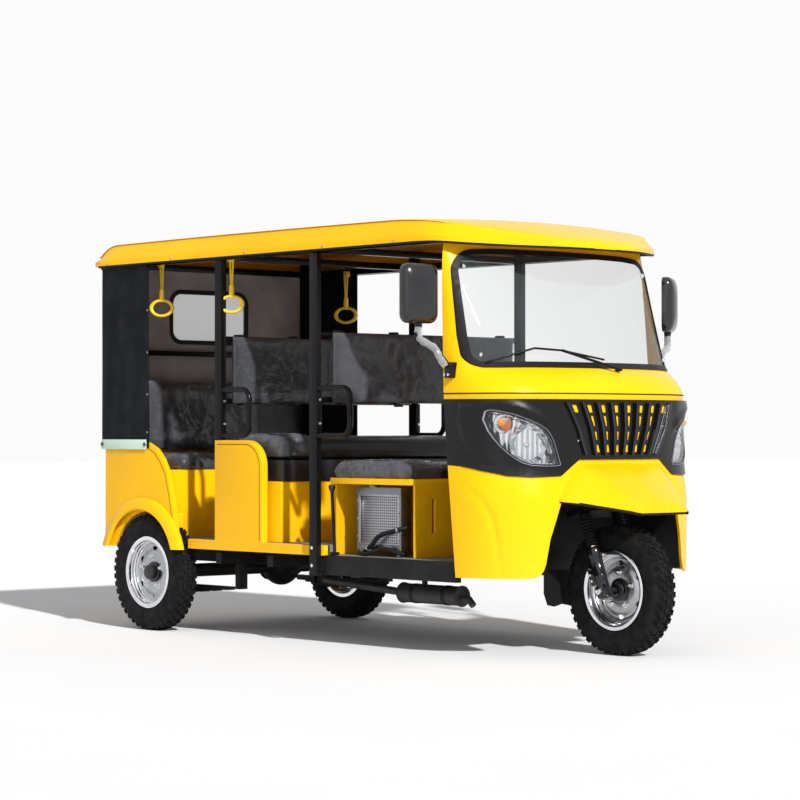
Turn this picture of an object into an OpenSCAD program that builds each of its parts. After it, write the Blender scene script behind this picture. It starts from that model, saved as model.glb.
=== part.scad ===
// Motorized passenger tricycle: open sides, three benches, one steered front wheel.
// X points forward, Y to the left, Z up, and the ground is Z = 0. All sizes in millimetres.

/* [Wheels] */
// Distance from the rear axle to the front axle
wheelbase = 2464; // [2300:1:2600]
// Position of the rear axle along the vehicle
rear_axle_x = -1155; // [-1170:1:-1140]
// Distance between the middles of the rear tyres
track = 1220; // [1210:1:1224]
// Outside diameter of a tyre
tyre_od = 550; // [540:1:556]
// Section width of a tyre
tyre_w = 114; // [106:1:116]
// Width of the flat tread
tread_w = 92; // [80:1:96]
// Diameter of the rim's flange
rim_d = 340; // [330:1:350]
// Width of the rim over its flanges
rim_w = 98; // [90:1:102]
// Diameter of a wheel hub
hub_d = 84; // [76:1:92]
// Length of a wheel hub
hub_l = 92; // [84:1:98]
// Diameter of the axle pin in a hub
axle_d = 24; // [20:1:28]
// Radial running clearance of a hub on its pin
hub_fit = 0.05; // [0.02:0.01:0.1]

/* [Steering] */
// Lean of the steering axis from upright, in degrees
rake = 20; // [18:1:22]
// Distance of the wheel's axle ahead of the steering axis
fork_offset = 45; // [38:1:52]
// Distance of each fork leg from the middle
fork_y = 100; // [94:1:108]
// Diameter of a fork leg's lower tube
leg_d = 46; // [40:1:50]
// Height of the lower yoke above the axle, along the fork
yoke_h = 345; // [338:1:352]
// Thickness of the yoke
yoke_t = 26; // [20:1:32]
// Length of the steering head tube
head_l = 170; // [150:1:180]
// Diameter of the steering stem
stem_d = 36; // [30:1:40]
// Wall of the head tube
head_wall = 9; // [7:1:12]
// Radial running clearance of the stem in the head tube
stem_fit = 0.05; // [0.02:0.01:0.1]
// Height of the handlebar above the axle, along the fork
bar_h = 880; // [860:1:900]
// Width of the handlebar
bar_w = 640; // [600:1:680]
// Diameter of the handlebar tube
bar_d = 22; // [20:1:25]

/* [Chassis] */
// Height of the chassis rails above the ground
rail_z = 318; // [312:1:324]
// Height of a rail's section
rail_h = 62; // [54:1:66]
// Width of a rail's section
rail_w = 50; // [40:1:60]
// Distance of a main rail from the middle
rail_y = 300; // [280:1:320]
// Rear end of the main rails
rail_x0 = -1480; // [-1490:1:-1450]
// Distance of the black inner wall behind the front tyre
well_gap = 31; // [24:1:40]
// Height of the rear floor
floor_z = 440; // [432:1:450]
// Height of the front floor
front_floor_z = 398; // [390:1:404]
// Thickness of a floor sheet
floor_t = 6; // [4:1:10]
// Where the floor steps down to the front
floor_step_x = 57; // [40:1:80]
// Diameter of the exhaust silencer
muffler_d = 84; // [76:1:92]
// Height of the exhaust silencer
muffler_z = 238; // [232:1:244]
// Rear edge of the radiator
radiator_x = 218; // [205:1:230]
// Length of the radiator along the vehicle
radiator_l = 290; // [260:1:310]
// Diameter of a brake drum
drum_d = 200; // [180:1:220]

/* [Body] */
// Half of the width of the floor and sills
side_y = 620; // [614:1:626]
// Thickness of the side panels
panel_t = 24; // [18:1:30]
// Height of the yellow side sill
sill_h = 45; // [38:1:52]
// Rear edge of the body sides
body_x0 = -1501; // [-1508:1:-1495]
// Lower edge of the rear body
body_z0 = 390; // [384:1:394]
// Top of the body sides
body_z1 = 896; // [880:1:910]
// Half of the width of the rear body
rear_body_y = 652; // [648:1:656]
// Distance of the wheel arch's middle behind the rear axle
arch_back = 34; // [28:1:38]
// Height of the wheel arch's middle above the rear axle
arch_up = 32; // [27:1:37]
// How far the wheel arch's lip reaches over the tread
arch_cover = 12; // [7:1:15]
// Width of the lip round the wheel arch
arch_lip = 57; // [50:1:64]
// Half of the width over the wheel arch lips
arch_y = 688; // [684:1:692]
// Clearance between a tyre and what surrounds it
tyre_gap = 15; // [12:1:20]
// Front edge of the half doors
door_x1 = -333; // [-345:1:-320]
// Length of a half door
door_l = 350; // [330:1:365]
// Top of the half doors
door_z1 = 903; // [890:1:915]
// Radius of a half door's upper front corner
door_r = 120; // [90:1:140]

/* [Cab] */
// Half of the width of the cab
cab_y = 640; // [634:1:646]
// Thickness of the cab's wall
cab_t = 12; // [8:1:16]
// Height of the belt line
belt_z = 1102; // [1095:1:1110]
// Bottom edge of the cab's legs
leg_z0 = 335; // [330:1:340]
// Position of the cab's rear edge at its foot
cab_rear_x0 = 961; // [955:1:965]
// Position of the cab's rear edge at the belt line
cab_rear_x1 = 899; // [893:1:905]
// Position of the cab's rear edge at the roof
cab_rear_x2 = 857; // [852:1:862]
// Thickness of the black mask on the cab's front
mask_t = 7; // [5:1:9]
// Height of the grille's ribs
rib_h = 9; // [5:1:14]
// Top of the black mask
mask_z1 = 1078; // [1074:1:1082]
// Thickness of the windscreen
glass_t = 5; // [4:1:6]
// Width of the windscreen's seal
seal_w = 17; // [14:1:20]

// Width of a mirror's housing
mirror_w = 175; // [160:1:176]
// Height of a mirror's housing
mirror_h = 252; // [230:1:270]

/* [Roof] */
// Overall height
roof_z1 = 1870; // [1850:1:1880]
// Height of the roof's lower edge
roof_z0 = 1746; // [1742:1:1750]
// Half of the width at the roof's lower edge
roof_y = 670; // [664:1:676]
// Rear end of the roof
roof_x0 = -1584; // [-1590:1:-1578]
// Thickness of the roof shell
roof_t = 10; // [8:1:14]
// Width of the frame posts
post_w = 50; // [40:1:56]
// Thickness of the frame posts
post_t = 28; // [24:1:34]
// Position of the front post
post_b_x = 57; // [50:1:64]
// Position of the middle post
post_c_x = -658; // [-665:1:-650]
// Position of the rear post
post_d_x = -1500; // [-1505:1:-1495]
// Height of the backrest frames' upper bar
bar_z1 = 1372; // [1360:1:1385]
// Height of the backrest frames' lower bar
bar_z0 = 1084; // [1070:1:1095]
// Diameter of the frame's thinner tubes
tube_d = 26; // [22:1:30]

/* [Benches] */
// Half of the width of the benches
bench_y = 560; // [540:1:570]
// Top of the driver's seat
driver_z = 808; // [795:1:820]
// Top of the middle bench
middle_z = 924; // [910:1:935]
// Top of the rear bench
rear_z = 832; // [820:1:845]
// Thickness of a seat cushion
cushion_t = 70; // [60:1:85]
// Radius of the cushions' edges
cushion_r = 18; // [10:1:20]
// Thickness of a backrest pad
back_t = 60; // [45:1:70]

/* [Hidden] */
$fn = 48;

wheel_z = tyre_od / 2;
// The body is drawn with the axles at this height, and rises with larger tyres.
axle_z = 275;
front_axle_x = rear_axle_x + wheelbase;
seam = 0.3;
yellow = [0.98, 0.76, 0.05];
black = [0.06, 0.06, 0.065];

// The inner wall behind the front wheel, and the front end of the main rails before it.
well_x = front_axle_x - tyre_od / 2 - well_gap;
rail_x1 = well_x - 18;

// Origin of the steering frame: its Z runs up the steering axis and its X carries the axle.
steer_x = front_axle_x - fork_offset * cos(rake);
steer_z = axle_z - fork_offset * sin(rake);

module lifted() {
    translate([0, 0, wheel_z - axle_z]) children();
}

module steering_axis() {
    translate([steer_x, 0, steer_z]) rotate([0, -rake, 0]) children();
}

// A block from its low corner to its high corner.
module block(low, high) {
    translate(low) cube(high - low);
}

// A rectangle of width w and height h with rounded corners.
module rounded(w, h, r) {
    translate([r, 0]) square([w - 2 * r, h]);
    translate([0, r]) square([w, h - 2 * r]);
    for (x = [r, w - r], y = [r, h - r])
        translate([x, y]) circle(r = r);
}

// A rounded slab that lies across the vehicle.
module slab(low, high, r) {
    translate([low.x, high.y, low.z]) rotate([90, 0, 0]) linear_extrude(high.y - low.y)
        rounded(high.x - low.x, high.z - low.z, r);
}

// The same thing on the right and on the left.
module both_sides() {
    children();
    mirror([0, 1, 0]) children();
}

// A straight round bar between two points.
module bar(a, b, d) {
    v = b - a;
    len = norm(v);
    translate(a)
        rotate([0, acos(v.z / len), atan2(v.y, v.x)])
            cylinder(h = len, d = d, $fn = 24);
}

// A round tube through points, with rounded bends.
module tube(points, d) {
    for (i = [1:len(points) - 1])
        bar(points[i - 1], points[i], d);
    for (i = [1:len(points) - 2])
        translate(points[i]) sphere(d = d * 1.03, $fn = 24);
}

// The end face of a thin wall, as a strip of triangles.
function strip_cap(n, e, last) = [for (j = [0:n / 2 - 2])
    let (a = e + j, b = e + j + 1, c = e + n - 2 - j, d = e + n - 1 - j)
    each last ? [[b, a, c], [c, a, d]] : [[a, b, c], [a, c, d]]];

// A closed skin through rings that all have the same number of points. The diagonals are
// turned from one part of a ring to the next, so that both halves come out alike.
module loft(rings, parts = 2) {
    n = len(rings[0]);
    m = len(rings);
    polyhedron(
        points = [for (ring = rings) for (p = ring) p],
        faces = concat(
            parts == 4 ? strip_cap(n, 0, false) : [[for (j = [0:n - 1]) j]],
            parts == 4 ? strip_cap(n, (m - 1) * n, true) : [[for (j = [n - 1:-1:0]) (m - 1) * n + j]],
            [for (i = [0:m - 2]) for (j = [0:n - 1])
                let (k = (j + 1) % n, a = i * n + j, b = i * n + k, c = a + n, d = b + n,
                     turned = floor((j + 1) * parts / n) % 2 == 1)
                each turned ? [[a, c, b], [b, c, d]] : [[a, c, d], [a, d, b]]]
        )
    );
}

// A section across the vehicle through a thin wall that is open below: the left halves of
// its outer and inner outlines, each from the lower edge to the middle.
function across(half) = concat(half, [for (i = [len(half) - 2:-1:0]) [-half[i].x, half[i].y]]);
function wall_ring(x, outer, inner) = let (o = across(outer), n = across(inner))
    concat([for (p = o) [x, p.x, p.y]], [for (i = [len(n) - 1:-1:0]) [x, n[i].x, n[i].y]]);

// The cab's horizontal outlines. Each row holds the height, where the curve starts, its
// depth, its half width and its exponent: a higher exponent gives squarer corners.
cab_rows = [
    [leg_z0, 889, 450, cab_y - 8, 2.7],
    [640, 889, 450, cab_y - 3, 2.7],
    [820, 862, 450, cab_y, 2.7],
    [belt_z, 862, 455, cab_y, 2.7],
    [1165, 877, 412, cab_y - 2, 2.4],
    [1220, 901, 310, cab_y - 5, 2.0],
    [1762, 834, 100, cab_y - 21, 2.0]
];
cab_steps = 14;
cab_back_x = 780;

function cab_ring(row, d) = let (z = row[0], x0 = row[1], a = row[2] + d, w = row[3] + d, p = row[4])
    concat(
        [[cab_back_x, -w, z]],
        [for (i = [-cab_steps:cab_steps]) let (t = 90 * i / cab_steps)
            [x0 + a * pow(cos(t), 2 / p), w * sign(t) * pow(abs(sin(t)), 2 / p), z]],
        [[cab_back_x, w, z]]
    );

// The solid inside the cab's surface, moved outwards by d, cut along the sloped rear edge.
module cab_solid(d, rear = 0) {
    difference() {
        loft([for (row = cab_rows) cab_ring(row, d)]);
        if (rear == 0)
            translate([0, 900, 0]) rotate([90, 0, 0]) linear_extrude(1800)
                polygon([[700, 300], [cab_rear_x0, 300], [cab_rear_x0, leg_z0],
                         [cab_rear_x1, belt_z], [cab_rear_x2, 1800], [700, 1800]]);
    }
}

// A prism through the cab's front, from an outline of Y and Z.
module front_prism(outline, x0 = 1000, x1 = 1500) {
    translate([x0, 0, 0]) rotate([90, 0, 90]) linear_extrude(x1 - x0) polygon(outline);
}

function mirrored(half) = concat(half, [for (i = [len(half) - 1:-1:0]) [-half[i].x, half[i].y]]);

// Windscreen opening: one half, from the bottom middle to the top middle.
function corner(c, r, a0, a1) = [for (i = [0:4]) let (a = a0 + (a1 - a0) * i / 4)
    c + r * [cos(a), sin(a)]];
function screen_half(d) = concat(
    [[0.01, 1219 - d], [380, 1219 - d], [500, 1217 - d]],
    corner([552, 1270], 54 + d, -80, -4),
    [[606 + d, 1345], [597 + d, 1520]],
    corner([488, 1602], 104 + d, 8, 84),
    [[400, 1711 + d], [0.01, 1714 + d]]
);
function screen_outline(d) = mirrored(screen_half(d));

// Lamp opening on the right side, as Y and Z on the cab's front.
lamp_outline = [
    [-598, 985], [-592, 1028], [-559, 1022], [-498, 1000], [-402, 952], [-376, 910], [-345, 806],
    [-461, 806], [-515, 832], [-560, 882], [-588, 932]
];
mask_half = [[0.01, 826], [246, 826], [341, 759], [466, 754], [547, 760], [605, 780], [660, 815],
             [660, mask_z1], [0.01, mask_z1]];
grille_half = [[0.01, 838], [208, 838], [318, 1070], [0.01, 1070]];
// Opening between the legs for the front wheel.
arch_half = [[0.01, 300], [430, 300], [420, leg_z0], [398, 496], [346, 662], [300, 690], [0.01, 690]];

module cab_cowl() {
    color(yellow) difference() {
        cab_solid(0);
        cab_solid(-cab_t, 1);
        block([700, -800, belt_z], [1600, 800, 1900]);
        front_prism(mirrored(arch_half));
        both_sides() front_prism(lamp_outline);
    }
}

module windscreen_frame() {
    color(yellow) difference() {
        cab_solid(0);
        cab_solid(-cab_t, 1);
        block([700, -800, 200], [1600, 800, belt_z + seam]);
        front_prism(screen_outline(0), 700);
    }
}

module windscreen_seal() {
    color(black) intersection() {
        difference() {
            cab_solid(6);
            cab_solid(seam, 1);
        }
        difference() {
            front_prism(screen_outline(6), 700);
            front_prism(screen_outline(-seal_w), 690, 1600);
        }
    }
}

module windscreen_glass() {
    color([0.7, 0.78, 0.8, 0.35]) intersection() {
        difference() {
            cab_solid(0);
            cab_solid(-glass_t, 1);
        }
        front_prism(screen_outline(-seam), 700);
    }
}

module front_mask() {
    color(black) intersection() {
        difference() {
            cab_solid(mask_t);
            cab_solid(seam, 1);
            both_sides() front_prism(lamp_outline);
            front_prism(mirrored(grille_half));
        }
        front_prism(mirrored(mask_half), 700);
    }
}

// Grille: a black plate with four rows of slots that show the cowl behind, and ribs that
// bend at mid height and stand proud between the slots.
slot_rows = [[1021, 1057, 4, 77], [966, 1009, 3, 73], [907, 942, 3, 67], [855, 886, 3, 58]];
slot_w = 17;
rib_w = 13;
function bend_y(k, z) = k * (55 + (z - 850) * 0.115) + 9 * (1 - abs(z - 955) / 110);
module grille() {
    color(black) intersection() {
        front_prism(mirrored([[0.01, 838 + seam], [208 - seam, 838 + seam], [318 - seam, 1070 - seam], [0.01, 1070 - seam]]));
        union() {
            difference() {
                cab_solid(mask_t - 1);
                cab_solid(seam, 1);
                for (row = slot_rows)
                    for (k = [0.5 - row[2]:row[2] - 0.5])
                        front_prism([for (p = [[-1, row[0]], [1, row[0]], [1, row[1]], [-1, row[1]]])
                            [bend_y(k, p.y) + p.x * slot_w / 2, p.y]]);
            }
            intersection() {
                difference() {
                    cab_solid(mask_t + rib_h);
                    cab_solid(mask_t - 3, 1);
                }
                for (k = [-4:4])
                    front_prism([for (p = [[-1, 844], [1, 844], [1, 955], [1, 1064], [-1, 1064], [-1, 955]])
                        [bend_y(k, p.y) + p.x * rib_w / 2, p.y]]);
            }
        }
    }
}

function near_lamp(k) = [for (p = lamp_outline) [(p.x + 475) * k - 475, (p.y - 915) * k + 915]];
module headlamp_bowls() {
    color([0.8, 0.82, 0.84]) both_sides() intersection() {
        difference() {
            cab_solid(-cab_t - seam, 1);
            cab_solid(-60, 1);
        }
        front_prism(near_lamp(1.07), 900);
    }
}

module headlamp_lenses() {
    color([0.9, 0.92, 0.94, 0.4]) both_sides() intersection() {
        difference() {
            cab_solid(mask_t - 1);
            cab_solid(-cab_t, 1);
        }
        front_prism(near_lamp(0.985), 900);
    }
}

// Mudguard above the front wheel. Each row holds the position, the half widths at the
// bottom and at the top, the heights of the bottom and top edges, and of the ridge.
guard_rows = [
    [1250, 378, 262, 655, 828, 832],
    [1320, 348, 232, 649, 792, 806],
    [1375, 300, 202, 640, 754, 774],
    [1430, 252, 174, 628, 714, 736],
    [1500, 196, 150, 614, 666, 684],
    [1540, 162, 132, 605, 638, 652],
    [1556, 150, 122, 600, 624, 636]
];
guard_t = 9;
function guard_half(r, d) = let (w = r[1] - d, v = r[2] - d / 2) [
    [w, r[3]], [w - 1, r[3] + 15 - d / 3], [v + (w - v) * 0.52, r[3] + (r[4] - r[3]) * 0.62 - d / 2],
    [v, r[4] - d], [v * 0.5, (r[4] + r[5]) / 2 + 3 - d], [0, r[5] - d]
];
function flat_half(r, d) = [
    [r[1] - d, r[3]], [r[1] - d, r[3] + 2], [r[1] * 0.95 - d, r[3] + 3], [r[2] - d / 2, r[3] + 3],
    [r[2] * 0.5, r[3] + 4], [0, r[3] + 4]
];
module front_mudguard() {
    last = len(guard_rows) - 1;
    color(yellow) difference() {
        loft(concat(
            [for (i = [0:last - 1]) wall_ring(guard_rows[i][0], guard_half(guard_rows[i], 0),
                                              guard_half(guard_rows[i], guard_t))],
            [wall_ring(guard_rows[last][0] - guard_t, guard_half(guard_rows[last], 0),
                       guard_half(guard_rows[last], guard_t)),
             wall_ring(guard_rows[last][0], guard_half(guard_rows[last], 0), flat_half(guard_rows[last], guard_t))]
        ), 4);
        cab_solid(seam, 1);
    }
}

// Black inner wall behind the front wheel, with the shelf over it and the dashboard.
well_t = 8;
well_z1 = 672;
module front_bulkhead() {
    color(black) {
        intersection() {
            cab_solid(-cab_t - seam, 1);
            difference() {
                front_prism(mirrored([[0.01, 350], [430, 350], [410, 496], [358, 662], [345, well_z1],
                                      [0.01, well_z1]]), well_x - well_t);
                front_prism(mirrored([[0.01, 340], [421, 340], [401, 496], [349, 656], [336, well_z1 - well_t],
                                      [0.01, well_z1 - well_t]]), well_x);
                steering_axis() translate([0, 0, yoke_h - 60]) cylinder(h = 220, r = 46);
            }
        }
        // Dashboard shelf under the windscreen.
        intersection() {
            cab_solid(-cab_t - seam, 1);
            difference() {
                block([1196, -620, 1122], [1330, 620, 1176]);
                block([1204, -600, 1110], [1400, 600, 1168]);
            }
        }
    }
}

module mud_flap() {
    color(black) block([well_x - 6, -150, 190], [well_x, 150, 350 - seam]);
}

// Roof: outlines across the vehicle, each with its position, half width at the lower edge,
// half width at the shoulder, and the heights of the lower edge, shoulder and crown.
roof_rows = [
    [roof_x0, 655, 600, roof_z0, 1796, 1800],
    [-1515, roof_y - 2, 600, roof_z0, 1836, 1850],
    [-1440, roof_y, 602, roof_z0, 1850, roof_z1 - 2],
    [-400, roof_y, 604, roof_z0, 1854, roof_z1],
    [560, roof_y, 604, roof_z0, 1852, roof_z1],
    [760, roof_y - 3, 592, roof_z0, 1842, roof_z1 - 8],
    [857, 650, 568, roof_z0 - 2, 1830, 1852],
    [950, 595, 512, 1736, 1812, 1836],
    [1020, 518, 436, 1730, 1796, 1819],
    [1090, 418, 342, 1725, 1778, 1798],
    [1150, 322, 250, 1722, 1762, 1778],
    [1195, 226, 162, 1720, 1748, 1760],
    [1220, 110, 60, 1719, 1736, 1742]
];
function roof_half(r, d) = let (w0 = r[1] - d, w1 = r[2] - d / 2) [
    [w0, r[3]], [w0, r[3] + 22 - d / 4], [w1 + (w0 - w1) * 0.42, r[4] - 16 - d], [w1, r[4] - d],
    [w1 * 0.5, r[5] - 5 - d], [0, r[5] - d]
];
module roof_shell() {
    color(yellow) loft([for (r = roof_rows) wall_ring(r[0], roof_half(r, 0), roof_half(r, roof_t))], 4);
}

// Chassis: two rails, cross members, outriggers, front beams and the steering head.
engine_x0 = -570;
engine_x1 = -330;
cross_l = 40;
cross_xs = [rail_x0, engine_x1, 30, 500, rail_x1 - cross_l];
outrigger_xs = [rear_axle_x - 335, rear_axle_x + 445, engine_x1, 30, 500];
beam_x0 = floor_step_x + 46;
neck_y = 75;
neck_z = 760;
module chassis_frame() {
    color(black) difference() {
        union() {
            both_sides() block([rail_x0, rail_y - rail_w / 2, rail_z],
                               [rail_x1, rail_y + rail_w / 2, rail_z + rail_h]);
            for (x = cross_xs)
                block([x, -rail_y, rail_z + 10], [x + cross_l, rail_y, rail_z + rail_h]);
            // Outriggers that carry the floor, the sills and the springs.
            for (x = outrigger_xs)
                both_sides() block([x, rail_y, rail_z + 12],
                                   [x + cross_l, x < rear_axle_x ? spring_y + spring_w / 2 : side_y - 30,
                                    rail_z + rail_h]);
            // Front side beams under the doorway.
            both_sides() block([beam_x0, side_y - 30, 312], [cab_rear_x0 - 8, side_y - 2, front_floor_z]);
            // Risers from the rails to the floors.
            for (x = [-1000, outrigger_xs[1], -200])
                both_sides() block([x, rail_y - rail_w / 2, rail_z + rail_h - 1],
                                   [x + cross_l, rail_y + rail_w / 2, floor_z - floor_t]);
            both_sides() block([beam_x0, rail_y - rail_w / 2, rail_z + rail_h - 1],
                               [rail_x1 - cross_l - 20, rail_y + rail_w / 2, front_floor_z - floor_t]);
            // Neck behind the front wheel that carries the steering head.
            both_sides() block([rail_x1 - cross_l, neck_y - 15, rail_z + rail_h - 1], [rail_x1, neck_y + 15, neck_z]);
            both_sides() block([rail_x1 - 1, neck_y - 15, neck_z - cross_l], [head_x - 20, neck_y + 15, neck_z]);
            block([head_x - 22, -neck_y - 15, neck_z - cross_l], [head_x + 8, neck_y + 15, neck_z]);
            steering_axis() translate([0, 0, head_z0]) cylinder(h = head_l, d = stem_d + 2 * head_wall);
        }
        steering_axis() translate([0, 0, head_z0 - 90]) cylinder(h = head_l + 180, d = stem_d + 2 * stem_fit);
    }
}
// Start of the head tube along the steering axis, and where the neck meets it.
head_z0 = yoke_h + yoke_t + 1;
head_x = steer_x - (neck_z - cross_l / 2 - steer_z) * tan(rake);

sill_x0 = rear_axle_x + 268;
floor_x1 = well_x - well_t - seam;
front_floor_y = side_y - 30 - seam;
module floor_deck() {
    color([0.25, 0.25, 0.26]) {
        difference() {
            union() {
                block([sill_x0, -side_y + panel_t, floor_z - floor_t],
                      [floor_step_x, side_y - panel_t, floor_z]);
                block([sill_x0 - 150, -535, floor_z - floor_t], [sill_x0 + 1, 535, floor_z]);
            }
            block([engine_x0 - 10, -230, 400], [engine_x1 + 30, 230, 500]);
        }
        difference() {
            block([floor_step_x - floor_t, -front_floor_y, front_floor_z - floor_t],
                  [floor_x1, front_floor_y, front_floor_z]);
            both_sides() block([rail_x1 - cross_l - seam, neck_y - 15 - seam, 300],
                               [rail_x1 + seam, neck_y + 15 + seam, 500]);
        }
        block([floor_step_x - floor_t, -front_floor_y, front_floor_z - floor_t],
              [floor_step_x, front_floor_y, floor_z - floor_t + 1]);
    }
}

// Side view outline of a half door with its rounded upper front corner.
module door_outline() {
    difference() {
        square([door_l, door_z1 - floor_z]);
        translate([door_l - door_r, door_z1 - floor_z - door_r]) difference() {
            square([door_r + 1, door_r + 1]);
            circle(r = door_r);
        }
    }
}

module side_panels() {
    color(yellow) both_sides() {
        block([sill_x0, -side_y, floor_z - sill_h], [floor_step_x + 45, -side_y + panel_t - seam, floor_z]);
        translate([door_x1 - door_l, -side_y + panel_t + 10, floor_z]) rotate([90, 0, 0]) linear_extrude(panel_t + 10)
            door_outline();
    }
}

arch_x = rear_axle_x - arch_back;
arch_z = axle_z + arch_up;
arch_r = tyre_od / 2 - arch_cover;

// Side view outline of a rear body side, with its sloped, curved front edge.
body_front = [[-1000 + 60, floor_z - sill_h], [-942, 520], [-972, 640], [-1000, 745], [-1045, 815],
              [-1095, 862], [-1160, 890], [-1200, body_z1]];
module rear_body_outline() {
    polygon(concat([[body_x0, body_z0]], body_front, [[body_x0, body_z1]]));
}

module rear_body() {
    color(yellow) difference() {
        union() {
            // Sides.
            both_sides() translate([0, -rear_body_y + panel_t, 0]) rotate([90, 0, 0])
                linear_extrude(panel_t) rear_body_outline();
            // Lips round the wheel arches.
            both_sides() translate([arch_x, -arch_y + 50, arch_z]) rotate([90, 0, 0])
                rotate_extrude($fn = 72)
                    polygon([[arch_r, 36], [arch_r, 44], [arch_r + 8, 50], [arch_r + 30, 46],
                             [arch_r + arch_lip, 34], [arch_r + arch_lip, 8], [arch_r + 24, 36]]);
            // Rear panel.
            block([body_x0, -rear_body_y, body_z0], [body_x0 + panel_t, rear_body_y, body_z1]);
        }
        // Room for the tyres.
        both_sides() translate([rear_axle_x, -track / 2 + tyre_w / 2 + tyre_gap, axle_z]) rotate([90, 0, 0])
            cylinder(h = tyre_w + tyre_gap + 7, r = tyre_od / 2 + tyre_gap);
        block([body_x0 - 200, -800, -100], [floor_step_x, 800, body_z0]);
    }
}

module bench_base(x0, x1, z0, z1, wall = 12) {
    difference() {
        block([x0, -bench_y, z0], [x1, bench_y, z1]);
        block([x0 + wall, -bench_y + wall, z0 - 1], [x1 - wall, bench_y - wall, z1 - wall]);
    }
}

// Rear bench: a box over the wheels and the axle.
rear_bench_x = rear_axle_x + 115;
module rear_seat_base() {
    color(yellow) difference() {
        union() {
            block([body_x0 + panel_t + seam, -rear_body_y + panel_t + seam, floor_z],
                  [rear_bench_x, rear_body_y - panel_t - seam, rear_z - cushion_t]);
            both_sides() block([rear_bench_x - 1, -rear_body_y + panel_t + seam, floor_z],
                               [rear_axle_x + 195, -rear_body_y + panel_t + 40, 560]);
        }
        block([body_x0 + 60, -530, floor_z - 1], [rear_bench_x - 12, 530, rear_z - cushion_t - 12]);
        both_sides() translate([rear_axle_x, -track / 2 + tyre_w / 2 + tyre_gap, axle_z]) rotate([90, 0, 0])
            cylinder(h = tyre_w + 2 * tyre_gap + 20, r = tyre_od / 2 + tyre_gap);
    }
}

module rear_seat_cushion() {
    color(black) slab([-1440, -bench_y, rear_z - cushion_t + seam], [rear_bench_x + 30, bench_y, rear_z], cushion_r);
}

module rear_seat_back() {
    color(black) translate([-1440, 0, rear_z + seam]) rotate([0, -8, 0])
        slab([0, -bench_y, -2.2], [back_t, bench_y, 380], cushion_r);
}

// Middle bench.
middle_x0 = post_c_x + 20;
middle_x1 = -273;
module middle_seat_base() {
    color(yellow) bench_base(middle_x0, middle_x1, floor_z + seam, 716);
}
module middle_seat_cushion() {
    color(black) {
        block([middle_x0, -bench_y + 10, 716 + seam], [middle_x1 + 10, bench_y - 10, middle_z - 110]);
        slab([middle_x0, -bench_y, middle_z - 111], [middle_x1 + 40, bench_y, middle_z], cushion_r);
    }
}

// Driver's bench.
driver_x0 = post_b_x + 16;
driver_x1 = 600;
module driver_seat_base() {
    color(yellow) difference() {
        union() {
            block([driver_x0, -bench_y, 712], [driver_x1, bench_y, 738]);
            block([driver_x1 - 12, -bench_y + 30, front_floor_z + seam], [driver_x1, bench_y - 30, 713]);
            block([driver_x0, -bench_y + 30, front_floor_z + seam], [driver_x0 + 12, bench_y - 30, 713]);
            block([driver_x0, -30, front_floor_z + seam], [driver_x1, -18, 713]);
        }
        both_sides() block([driver_x1 - 20, -430, 505], [driver_x1 + 1, -412, 650]);
    }
}
module driver_seat_cushion() {
    color(black) slab([driver_x0, -bench_y, 738 + seam], [driver_x1, bench_y, driver_z], cushion_r);
}

module backrest_pads() {
    color(black) for (x = [post_b_x, post_c_x])
        slab([x + tube_d / 2 + seam, -570, bar_z0 - 26], [x + tube_d / 2 + 40, 570, bar_z1 + 26], cushion_r);
}

// Posts and rails on each side.
module side_frames() {
    color(black) both_sides() {
        block([post_b_x - post_w / 2, -side_y - post_t + 2, 308],
              [post_b_x + post_w / 2, -side_y, 1789.4]);
        block([post_c_x - post_w / 2, -side_y, door_z1 + seam],
              [post_c_x + post_w / 2, -side_y + post_t, 1829.2]);
        block([post_d_x - post_w / 2, -side_y, body_z1 + seam],
              [post_d_x + post_w / 2, -side_y + post_t, 1804]);
        block([post_d_x, -side_y, roof_z0 - 10], [cab_rear_x2 + 1, -side_y + post_t, roof_z0 + 20]);
        grab_handle([post_b_x + post_w / 2, -side_y - post_t / 2 + 2, 0], 210);
        grab_handle([post_c_x + post_w / 2, -side_y + post_t / 2, 0], 190);
    }
}

// D-shaped guard that stands forward of a post.
module grab_handle(at, reach) {
    for (z = [925, 1135])
        translate([at.x, at.y, z]) rotate([0, 90, 0]) cylinder(h = reach - 50, d = tube_d);
    translate([at.x + reach - 50, at.y, 975]) rotate([90, 0, 0]) rotate_extrude(angle = -90) translate([50, 0]) circle(d = tube_d);
    translate([at.x + reach - 50, at.y, 1085]) rotate([90, 0, 0]) rotate_extrude(angle = 90) translate([50, 0]) circle(d = tube_d);
    translate([at.x + reach, at.y, 975]) cylinder(h = 110, d = tube_d);
}

// Bars across the vehicle between the posts.
module cross_frames() {
    half_b = side_y - seam;
    half_c = side_y - post_t - seam;
    color(black) {
        for (post = [[post_b_x, half_b], [post_c_x, half_c]])
            for (z = [bar_z0, bar_z1])
                translate([post[0], -post[1], z]) rotate([-90, 0, 0]) cylinder(h = 2 * post[1], d = tube_d);
        for (x = [post_d_x + 20, post_c_x, post_b_x])
            block([x - 15, -half_c, roof_z0 - 10], [x + 15, half_c, roof_z0 + 20]);
        translate([-1495, -side_y + post_t + seam, 1330]) rotate([-90, 0, 0])
            cylinder(h = 2 * (side_y - post_t - seam), d = tube_d);
    }
}

module rear_wall() {
    color([0.3, 0.3, 0.31]) difference() {
        block([post_d_x - post_w / 2 - seam - 8, -side_y, body_z1 + seam],
              [post_d_x - post_w / 2 - seam, side_y, 1750]);
        window_prism(post_d_x - post_w / 2 - 14, 20, 0);
    }
}

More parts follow.
